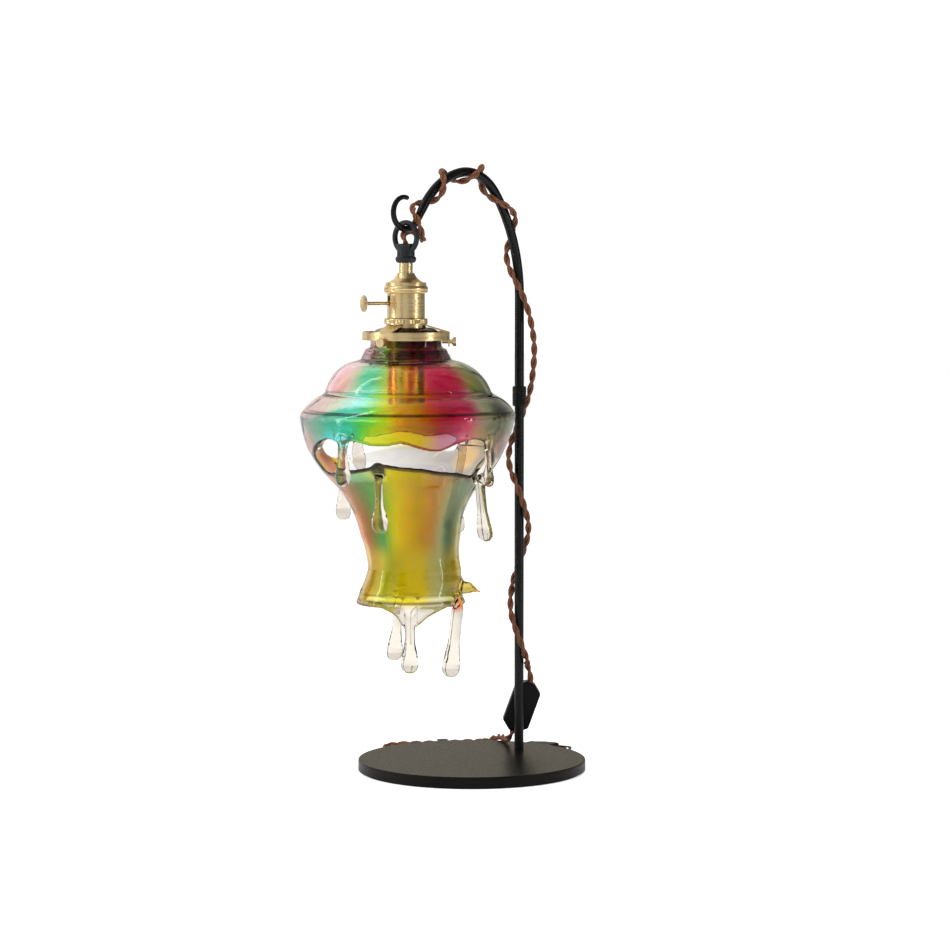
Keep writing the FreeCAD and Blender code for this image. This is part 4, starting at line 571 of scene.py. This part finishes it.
for turn, reach, depth, length, stem, drop, root, lean, aside, down in drips:
    angle = front + math.radians(turn)
    start = numpy.array((math.cos(angle) * reach, math.sin(angle) * reach, neck_top - depth))
    way = right * math.sin(math.radians(lean)) - (0, 0, math.cos(math.radians(lean)))
    along = (place - start) @ way
    across = place - start - along[:, None] * way
    width = numpy.maximum(numpy.linalg.norm(across, axis=1), 1e-6)
    made = solid_radius(along, length, stem, drop, root)
    # The points of this drip lie within 1.5 mm of that radius, and from 1 mm below its start on.
    member = (along > 1) & (along < length + 1) & (width < made + 1.5)
    facing = (glass_normals * across).sum(axis=1) > 0.3 * width
    has_drop = drop > stem
    if has_drop:
        swelling = soft_step(along, length - 2.1 * drop, length - 0.7 * drop)
        wanted = stem / 2 + (drop - stem) / 2 * swelling
    else:
        # The thorn is 21 mm wide at its root and comes to its point in 27 mm.
        wanted = 10.5 * numpy.clip(1 - along / 27, 0, 1) ** 1.3
    # Above its ball, the drip takes the wanted radius over its first 12 mm.
    swell = member & facing & (along - length + drop / 2 < 0)
    growth = (wanted / numpy.maximum(made, 0.5) - 1) * soft_step(along, 1, 12)
    place += across * numpy.where(swell, growth, 0)[:, None]
    # The root sinks into the wall: it keeps within a limit that opens towards the stem, and that
    # lets go from 5 to 11 mm down and over 3.5 mm round it.
    limit = 2.2 + 0.35 * numpy.maximum(along, 0)
    off_middle = radius - wall_middle[level]
    sunk = limit * numpy.tanh(off_middle / limit) - off_middle
    hold = (along > -0.7 * root) * (1 - soft_step(along, 5, 11))
    hold *= 1 - soft_step(width, root / 2 + 0.5, root / 2 + 4)
    place += outwards * (sunk * hold)[:, None]
    drawn = numpy.where(member, soft_step(along, 0, length), 0)[:, None]
    place += drawn * (right * aside + way * down)
    if has_drop:
        # Its tint runs out between 2 and 14 mm below its start.
        clear = numpy.maximum(clear, numpy.where(member, soft_step(along, 2, 14), 0))
glass_points = place / 1000 + axis_point
shade.data.vertices.foreach_set("co", glass_points.astype("f4").ravel())
shade.data.update()
shape_with(shade, "SMOOTH", factor=0.5, iterations=7)
glass_points = mesh_numbers(shade.data.vertices, "co", 3).astype(float)
glass_normals = mesh_numbers(shade.data.vertices, "normal", 3)


def even_out(values, rounds):
    """Values at the points, each mixed with its neighbours so many times."""
    count = numpy.bincount(glass_edges.ravel(), minlength=len(values))
    for _ in range(rounds):
        around = numpy.bincount(glass_edges[:, 0], weights=values[glass_edges[:, 1]],
                                minlength=len(values))
        around += numpy.bincount(glass_edges[:, 1], weights=values[glass_edges[:, 0]],
                                 minlength=len(values))
        values = (values + around) / (1 + count)
    return values


def roundness():
    """How sharply the skin turns away at each point, per mm."""
    ways = glass_points[glass_edges[:, 1]] - glass_points[glass_edges[:, 0]]
    spans = (ways ** 2).sum(axis=1) * 1000
    turn = numpy.zeros(len(glass_points))
    for end, sign in ((0, -1.0), (1, 1.0)):
        bend = sign * (glass_normals[glass_edges[:, end]] * ways).sum(axis=1) / spans
        turn += numpy.bincount(glass_edges[:, end], weights=bend, minlength=len(turn))
    return even_out(turn / numpy.bincount(glass_edges.ravel(), minlength=len(turn)), 2)


turned = soft_step(roundness(), 0.072, 0.1) * (1 - soft_step(clear, 0.0, 0.4))
for name, values in (("rolled edge", turned), ("by the edge", even_out(turned, 16)),
                     ("clear drip", even_out(clear, 2))):
    shade.data.attributes.new(name, "FLOAT", "POINT").data.foreach_set("value",
                                                                       values.astype("f4"))

# The hot glass slumped to one side: lean to the right and extra width, in mm at each height.
slump = numpy.array((
    (0, 4.2, 4.2), (183, 4.2, 4.2), (190, 4, 4.5), (200, 7, 5), (211, 8, 4), (225, 6.2, 3.2),
    (245, 4, 2), (262, 2.5, 1), (290, 1.3, 0), (328, 0.3, 0), (355, 1.3, 0), (375, 2.6, 0),
    (395, 1.5, 0), (414, 0, 0),
))
place = (glass_points - axis_point) * 1000
# The back slot's lower edge, 300 to 318 mm up and behind the axis, has drawn up a little.
slot_rise = 0.009
behind_axis = place @ (-right[1], right[0], 0)
drawn_up = soft_step(place[:, 2], 285, 300) * (1 - soft_step(place[:, 2], 318, 326))
drawn_up *= soft_step(behind_axis, 10, 30) * (1 - soft_step(clear, 0, 0.3))
glass_points[:, 2] += drawn_up * slot_rise
sideways_share = place @ right / numpy.maximum(numpy.hypot(place[:, 0], place[:, 1]), 1)
moved = numpy.interp(place[:, 2], slump[:, 0], slump[:, 1])
moved += numpy.interp(place[:, 2], slump[:, 0], slump[:, 2]) * sideways_share
glass_points += moved[:, None] / 1000 * right
shade.data.vertices.foreach_set("co", glass_points.astype("f4").ravel())
shade.data.update()

tinted, tinted_shader = start_material("blown_glass_rainbow_tint", IOR=1.5,
                                       Transmission_Weight=1.0, Roughness=0.015,
                                       Specular_Tint=(0.4, 0.4, 0.4, 1.0))
lamp_place = object_place(tinted)
# The shade's own place: X right and Y away as its front is seen, Z up, from the lamp's axis.
turned_place = add_node(tinted, "VectorRotate", {
    "Vector": lamp_place, "Center": tuple(pendant_axis), "Axis": (0, 0, 1),
    "Angle": math.pi * 1.5 - front}, rotation_type="AXIS_ANGLE")
shade_place = add_node(tinted, "VectorMath", {0: turned_place.outputs["Vector"],
                                              1: tuple(-pendant_axis)}, operation="ADD")
swirl = add_node(tinted, "TexNoise", {"Vector": shade_place.outputs["Vector"],
                                      "Scale": per_mm(60), "Detail": 2.0, "Distortion": 0.8})
swirl_push = add_node(tinted, "MapRange", {"Value": swirl.outputs["Fac"], "From Min": 0.3,
                                           "From Max": 0.7, "To Min": -0.07, "To Max": 0.07})
parts = add_node(tinted, "SeparateXYZ", {"Vector": shade_place.outputs["Vector"]})
flat = add_node(tinted, "CombineXYZ", {"X": parts.outputs["X"], "Y": parts.outputs["Y"]})
reach = add_node(tinted, "VectorMath", {0: flat.outputs["Vector"]}, operation="LENGTH")
sideways = add_node(tinted, "Math", {0: parts.outputs["X"], 1: reach.outputs["Value"]},
                    operation="DIVIDE")
pushed = add_node(tinted, "Math", {0: sideways.outputs["Value"],
                                   1: swirl_push.outputs["Result"]}, operation="ADD")
share = add_node(tinted, "MapRange", {"Value": pushed.outputs["Value"], "From Min": -1.0,
                                      "From Max": 1.0})


def tints_across(*stops):
    """The tints from the shade's left side (0) over its front and its back to its right (1)."""
    return colours(add_node(tinted, "ValToRGB", {"Fac": share.outputs["Result"]}), *stops)


low_tint = tints_across(
    (0.0, "#b4883a"), (0.1, "#c4ac3c"), (0.2, "#c0bc4c"), (0.27, "#a0a024"), (0.33, "#aca418"),
    (0.5, "#bca808"), (0.68, "#bca828"), (0.78, "#a8a060"), (0.86, "#a4a070"), (0.92, "#8c8840"),
    (1.0, "#a88c2c"))
bell_tint = tints_across(
    (0.0, "#b06848"), (0.03, "#a03c14"), (0.08, "#a47018"), (0.14, "#889444"), (0.2, "#60a060"),
    (0.26, "#68a458"), (0.31, "#b0b838"), (0.38, "#ccc010"), (0.44, "#d0b400"), (0.52, "#c8a600"),
    (0.6, "#bc9c00"), (0.66, "#b89024"), (0.73, "#b48638"), (0.79, "#b09058"), (0.84, "#a8a474"),
    (0.89, "#789068"), (0.925, "#4c6040"), (0.95, "#5c6430"), (0.975, "#8c8838"),
    (1.0, "#a89048"))
band_low_tint = tints_across(
    (0.0, "#b88c7c"), (0.04, "#d0988c"), (0.08, "#94c4b4"), (0.13, "#6ce0e4"), (0.17, "#50d8e0"),
    (0.21, "#48b0a8"), (0.25, "#48b880"), (0.28, "#78c850"), (0.32, "#b8d020"), (0.38, "#bcc008"),
    (0.44, "#b4a400"), (0.5, "#b49400"), (0.58, "#a88000"), (0.63, "#a07030"), (0.68, "#9b585c"),
    (0.73, "#98586c"), (0.77, "#c47084"), (0.81, "#c08478"), (0.85, "#b8986c"), (0.9, "#8c7c50"),
    (0.95, "#807448"), (1.0, "#80604c"))
band_top_tint = tints_across(
    (0.0, "#c09c98"), (0.04, "#a8a8a0"), (0.08, "#84c4b0"), (0.14, "#4cc0a0"), (0.24, "#40c090"),
    (0.28, "#50cc68"), (0.32, "#88cc30"), (0.38, "#a8cc28"), (0.42, "#c8cc10"), (0.47, "#cc9000"),
    (0.54, "#b07c00"), (0.6, "#a85810"), (0.66, "#982820"), (0.7, "#981c38"), (0.75, "#b43054"),
    (0.79, "#b84060"), (0.84, "#b08078"), (0.9, "#8c8870"), (0.95, "#687048"), (1.0, "#5c6440"))
shoulder_tint = tints_across(
    (0.0, "#dca4b8"), (0.06, "#e8b4b4"), (0.1, "#e6d4c0"), (0.14, "#d8e8d0"), (0.18, "#c4f0ea"),
    (0.22, "#b8f4ee"), (0.26, "#a4f0e4"), (0.3, "#a8e2b0"), (0.34, "#bedc80"), (0.38, "#d8d648"),
    (0.42, "#d6b818"), (0.46, "#c49020"), (0.54, "#ac8414"), (0.58, "#b07024"), (0.62, "#b04438"),
    (0.66, "#aa3c48"), (0.7, "#9e3048"), (0.76, "#a4304e"), (0.81, "#9c3854"), (0.85, "#a06468"),
    (0.88, "#98907c"), (0.92, "#7c8860"), (0.955, "#303830"), (1.0, "#404440"))
dome_tint = tints_across(
    (0.0, "#e4a0a8"), (0.045, "#f4bec8"), (0.095, "#ecc8c4"), (0.14, "#dcccb8"), (0.19, "#94d4a8"),
    (0.25, "#68cca8"), (0.3, "#88ca90"), (0.35, "#b0c860"), (0.4, "#dcb044"), (0.46, "#f0b040"),
    (0.56, "#f4c44c"), (0.6, "#c06c48"), (0.65, "#b44458"), (0.7, "#b03050"), (0.78, "#ac2c4c"),
    (0.83, "#a83848"), (0.87, "#a06858"), (0.9, "#8c8850"), (0.94, "#68743c"), (1.0, "#4c5840"))
neck_tint = tints_across(
    (0.0, "#5c3040"), (0.05, "#b88890"), (0.12, "#947868"), (0.2, "#6c8440"), (0.3, "#687820"),
    (0.42, "#4c2c24"), (0.6, "#4e1c2a"), (0.85, "#3e1824"), (1.0, "#2c2024"))


def tint_over(under, over, amount):
    """One colour over another: over is an output or a hex colour, and amount a share."""
    if isinstance(over, str):
        over = linear(over)
    # A colour mix takes its share in socket 0 and its two colours in sockets 6 and 7.
    return add_node(tinted, "Mix", {0: amount, 6: under, 7: over}, data_type="RGBA").outputs[2]


# The tints change from one to the next between two heights in millimetres.
height_push = add_node(tinted, "MapRange", {"Value": swirl.outputs["Fac"], "From Min": 0.3,
                                            "From Max": 0.7, "To Min": -0.003, "To Max": 0.003})
height = add_node(tinted, "Math", {0: parts.outputs["Z"], 1: height_push.outputs["Result"]},
                  operation="ADD")
tint = low_tint
for upper_tint, start, end in (
        (bell_tint, 222, 238), (band_low_tint, 318, 328), (band_top_tint, 344, 350),
        (shoulder_tint, 361, 366), (dome_tint, 383, 388), (neck_tint, 412, 417)):
    here = add_node(tinted, "MapRange", {"Value": height.outputs["Value"],
                                         "From Min": start / 1000, "From Max": end / 1000})
    tint = tint_over(tint, upper_tint, here.outputs["Result"])


def both(first, second):
    """The product of two shares."""
    return add_node(tinted, "Math", {0: first, 1: second}, operation="MULTIPLY").outputs["Value"]


def ramp_up(value, start, end, most=1.0):
    """A share that grows from 0 to most as the value goes from start to end."""
    return add_node(tinted, "MapRange", {"Value": value, "From Min": start, "From Max": end,
                                         "To Max": most}).outputs["Result"]


in_front = ramp_up(parts.outputs["Y"], 0.01, -0.02)
behind = ramp_up(parts.outputs["Y"], 0.0, 0.03)


# Folds and rims of the glass get dark lines painted round the front only, on the side that faces the
# camera: painted shade where the glass turns. Each has its height and half its width in millimetres,
# its colour, and how strong it is.
for middle, half_width, colour, most in (
        (364.8, 1.4, "#0c0e08", 0.98), (384.6, 1.1, "#3c2a22", 0.6), (415.2, 1.5, "#181014", 0.9),
        (181.0, 1.8, "#3c2808", 0.85), (187.0, 1.0, "#3c3008", 0.6), (420.5, 0.9, "#1c0c12", 0.8),
        (427.0, 0.9, "#1c0c12", 0.7)):
    off_line = add_node(tinted, "Math", {0: parts.outputs["Z"], 1: middle / 1000},
                        operation="SUBTRACT")
    away = add_node(tinted, "Math", {0: off_line.outputs["Value"]}, operation="ABSOLUTE")
    line = ramp_up(away.outputs["Value"], half_width / 1000, half_width / 2500, most)
    tint = tint_over(tint, colour, both(line, in_front))

# Behind the front slot the back wall is thin and nearly clear, so that the slot reads pale.
lower_back = ramp_up(parts.outputs["Z"], 0.29, 0.297)
upper_back = ramp_up(parts.outputs["Z"], 0.328, 0.32)
back_middle = ramp_up(parts.outputs["X"], -0.066, -0.058)
pale = tints_across((0.2, "#f8f6f5"), (0.45, "#ccc8c6"), (0.7, "#a49e9a"), (0.9, "#989088"))
tint = tint_over(tint, pale, both(both(lower_back, upper_back), both(behind, back_middle)))


def near(place, size, fade, most=1.0):
    """A share round a place in the shade, in mm: 0 at that size, and most within size / fade."""
    away = add_node(tinted, "VectorMath", {0: shade_place.outputs["Vector"],
                                           1: tuple(value / 1000 for value in place)},
                    operation="DISTANCE")
    return ramp_up(away.outputs["Value"], size / 1000, size / (1000 * fade), most)


def spotted(under, *spots):
    """Patches of colour laid on the glass, painted shade among them: the place, size, colour and
    strength of each.
    """
    for place, size, colour, most in spots:
        under = tint_over(under, colour, near(place, size, 1.6, most))
    return under


tint = spotted(
    tint, ((-90, 36, 315), 22, "#4a1a10", 0.9), ((-76, 42, 308), 15, "#d8a418", 0.95),
    ((65, 58, 309), 21, "#e4b06c", 0.9), ((93, -22, 328), 13, "#481416", 0.85),
    ((87, -42, 331), 7, "#dc8c5c", 0.8), ((66, -52, 300), 10, "#5a2010", 0.9))
# The drips and what hangs below the mouth have run out of the tinted skin and are clear.
clear_glass = "#c4bbac"
clear_drip = add_node(tinted, "Attribute", attribute_name="clear drip")
tint = tint_over(tint, clear_glass, clear_drip.outputs["Fac"])
tint = tint_over(tint, clear_glass, ramp_up(parts.outputs["Z"], 0.181, 0.175))
tint = spotted(
    tint, ((-53.4, -87.0, 342.7), 3.6, "#10383a", 0.95), ((-25.4, -83.2, 312), 10, "#14161a", 0.95),
    ((73, 0, 186), 9, "#cc5a08", 0.95), ((50, -19, 177), 10, "#a84204", 0.97))

# Where an edge has rolled over, the glass is thick and takes up more light; on the front, the rolled
# edges, the slot's lower edge and the ring round the slot's left end are also painted darker: painted
# shade where the glass turns away.
rolled = add_node(tinted, "Attribute", attribute_name="rolled edge")
by_edge = add_node(tinted, "Attribute", attribute_name="by the edge")
lower_edge = both(ramp_up(parts.outputs["Z"], 0.33, 0.322), ramp_up(parts.outputs["Z"], 0.28, 0.29))
tint = tint_over(tint, "#6a3418", both(rolled.outputs["Fac"], in_front))
slot_edge_shade = both(ramp_up(by_edge.outputs["Fac"], 0.06, 0.18), both(in_front, lower_edge))
tint = tint_over(tint, "#1a100e", slot_edge_shade)
slot_end_shade = both(near((-75, -58, 319), 17, 1.3), rolled.outputs["Fac"])
tint = tint_over(tint, "#200c10", slot_end_shade)
# The dark patch beside the slot's left end is painted shade as well.
tint = spotted(tint, ((-86, -45, 322), 13, "#2c0e0c", 0.9))

wall_tint = add_node(tinted, "Gamma", {"Color": tint, "Gamma": 0.68})
join(tinted, wall_tint.outputs["Color"], tinted_shader.inputs["Base Color"])
ripple = add_node(tinted, "TexNoise", {"Vector": lamp_place, "Scale": per_mm(26), "Detail": 2.0})
ripple_bump = add_node(tinted, "Bump", {"Height": ripple.outputs["Fac"], "Strength": 0.3,
                                        "Distance": 0.001})
join(tinted, ripple_bump.outputs["Normal"], tinted_shader.inputs["Normal"])
shade.data.materials.clear()
shade.data.materials.append(tinted)
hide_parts("glass_shade")
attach(shade, "pendant")


# Setting: a white floor that keeps the lamp's shadow, a white surround with darker strips
# between its soft boxes, and a camera where the photograph was taken.
def studio(right, away, height):
    """A place in the setting as the camera sees it, in millimetres from the foot's centre."""
    look = math.radians(view_heading)
    return Vector((right * math.sin(look) + away * math.cos(look),
                   -right * math.cos(look) + away * math.sin(look), height)) / 1000


floor_mesh = bpy.data.meshes.new("studio_floor")
floor_mesh.from_pydata([(-9, -9, 0), (9, -9, 0), (9, 9, 0), (-9, 9, 0)], [], [(0, 1, 2, 3)])
floor = bpy.data.objects.new("studio_floor", floor_mesh)
bpy.context.scene.collection.objects.link(floor)
white = (1, 1, 1, 1)
paper, paper_shader = start_material("white_paper", Roughness=0.9, Base_Color=linear("#f4f4f4"),
                                     Emission_Color=white)
# The paper is lifted to white for the eye and through the glass, and lights nothing else.
paper_glow = 0.5
rays = add_node(paper, "LightPath")
seen = add_node(paper, "Math", {0: rays.outputs["Is Camera Ray"],
                                1: rays.outputs["Is Transmission Ray"]}, operation="MAXIMUM")
lift = add_node(paper, "Math", {0: seen.outputs["Value"], 1: paper_glow}, operation="MULTIPLY")
join(paper, lift.outputs["Value"], paper_shader.inputs["Emission Strength"])
floor.data.materials.append(paper)

world = bpy.data.worlds.new("studio")
bpy.context.scene.world = world
world.use_nodes = True
for node in list(world.node_tree.nodes):
    world.node_tree.nodes.remove(node)
sky_place = add_node(world, "TexCoord").outputs["Generated"]
sky_turn = add_node(world, "VectorRotate", {"Vector": sky_place, "Axis": (0, 0, 1),
                                            "Angle": -math.radians(view_heading)},
                    rotation_type="AXIS_ANGLE")
sky_round = add_node(world, "TexGradient", {"Vector": sky_turn.outputs["Vector"]},
                     gradient_type="RADIAL")
# Dark strips between the soft boxes: where each starts and ends, as a share of the way round.
strip_blur = 0.005
strip_stops = [(0.0, "#ffffff")]
for start, end, grey in (
        (0.05, 0.09, "#303030"), (0.17, 0.21, "#383838"), (0.295, 0.34, "#303030"),
        (0.66, 0.705, "#303030"), (0.79, 0.83, "#383838"), (0.91, 0.95, "#303030")):
    strip_stops += [(start - strip_blur, "#ffffff"), (start + strip_blur, grey),
                    (end - strip_blur, grey), (end + strip_blur, "#ffffff")]
strips = colours(add_node(world, "ValToRGB", {"Fac": sky_round.outputs["Fac"]}), *strip_stops)
sky_rays = add_node(world, "LightPath")
through = add_node(world, "Math", {0: sky_rays.outputs["Is Glossy Ray"],
                                   1: sky_rays.outputs["Is Transmission Ray"]},
                   operation="MAXIMUM")
sky_colour = add_node(world, "Mix", {0: through.outputs["Value"], 6: white, 7: strips},
                      data_type="RGBA")
bright = add_node(world, "Math", {0: sky_rays.outputs["Is Camera Ray"],
                                  1: through.outputs["Value"]}, operation="MAXIMUM")
# The surround lights the lamp less brightly than it is seen.
light_given = 0.56
light_seen = 1.12
strength = add_node(world, "MapRange", {"Value": bright.outputs["Value"], "To Min": light_given,
                                        "To Max": light_seen})
# What the lamp mirrors is bright on its left and dim on its right.
mirrored = colours(
    add_node(world, "ValToRGB", {"Fac": sky_round.outputs["Fac"]}),
    (0.0, "#b8b8b8"), (0.07, "#909090"), (0.12, "#707070"), (0.4, "#706c66"), (0.5, "#d0c8b6"),
    (0.6, "#f4f2ec"), (0.9, "#f0f0f0"), (1.0, "#b8b8b8"))
passed_through = add_node(world, "Math", {0: 1.0, 1: sky_rays.outputs["Is Transmission Ray"]},
                          operation="SUBTRACT")
mirror_ray = add_node(world, "Math", {0: sky_rays.outputs["Is Glossy Ray"],
                                      1: passed_through.outputs["Value"]}, operation="MULTIPLY")
gloss_tone = add_node(world, "Mix", {0: mirror_ray.outputs["Value"], 6: white, 7: mirrored},
                      data_type="RGBA")
sky_seen = add_node(world, "Mix", {0: 1.0, 6: sky_colour.outputs[2], 7: gloss_tone.outputs[2]},
                    data_type="RGBA", blend_type="MULTIPLY")
surround = add_node(world, "Background", {"Color": sky_seen.outputs[2],
                                          "Strength": strength.outputs["Result"]})
add_node(world, "OutputWorld", {"Surface": surround.outputs["Background"]})


def soft_box(name, place, target, size, power, mirrored=False):
    """An area light at a place, turned to its target: width and height in metres, and watts."""
    light = bpy.data.lights.new(name, "AREA")
    light.shape = "RECTANGLE"
    light.size, light.size_y = size
    light.energy = power
    lamp = bpy.data.objects.new(name, light)
    lamp.location = place
    lamp.visible_glossy = mirrored
    lamp.rotation_euler = (target - place).to_track_quat("-Z", "Y").to_euler()
    bpy.context.scene.collection.objects.link(lamp)


middle = studio(0, 0, 300)
soft_box("key_box", studio(-1500, -1500, 1700), middle, (1.2, 1.6), 26)
soft_box("fill_box", studio(1700, -900, 1300), middle, (1.0, 1.6), 8)
soft_box("top_box", studio(0, 300, 2200), middle, (1.8, 1.8), 14)
soft_box("right_strip", studio(1330, -640, 500), middle, (0.07, 1.6), 5, mirrored=True)
soft_box("left_strip", studio(-1450, -350, 1100), middle, (0.12, 2.6), 9, mirrored=True)

camera_data = bpy.data.cameras.new("photo_camera")
camera_data.sensor_width = 36.0
camera_data.lens = 116.9
camera = bpy.data.objects.new("photo_camera", camera_data)
camera_distance = 3068
camera_height = 526.7
camera.location = studio(0, -camera_distance, camera_height)
camera_way = studio(3.2, 0, 296.9) - camera.location
camera.rotation_euler = camera_way.to_track_quat("-Z", "Y").to_euler()
bpy.context.scene.collection.objects.link(camera)
bpy.context.scene.camera = camera
bpy.context.scene.view_settings.view_transform = "Standard"
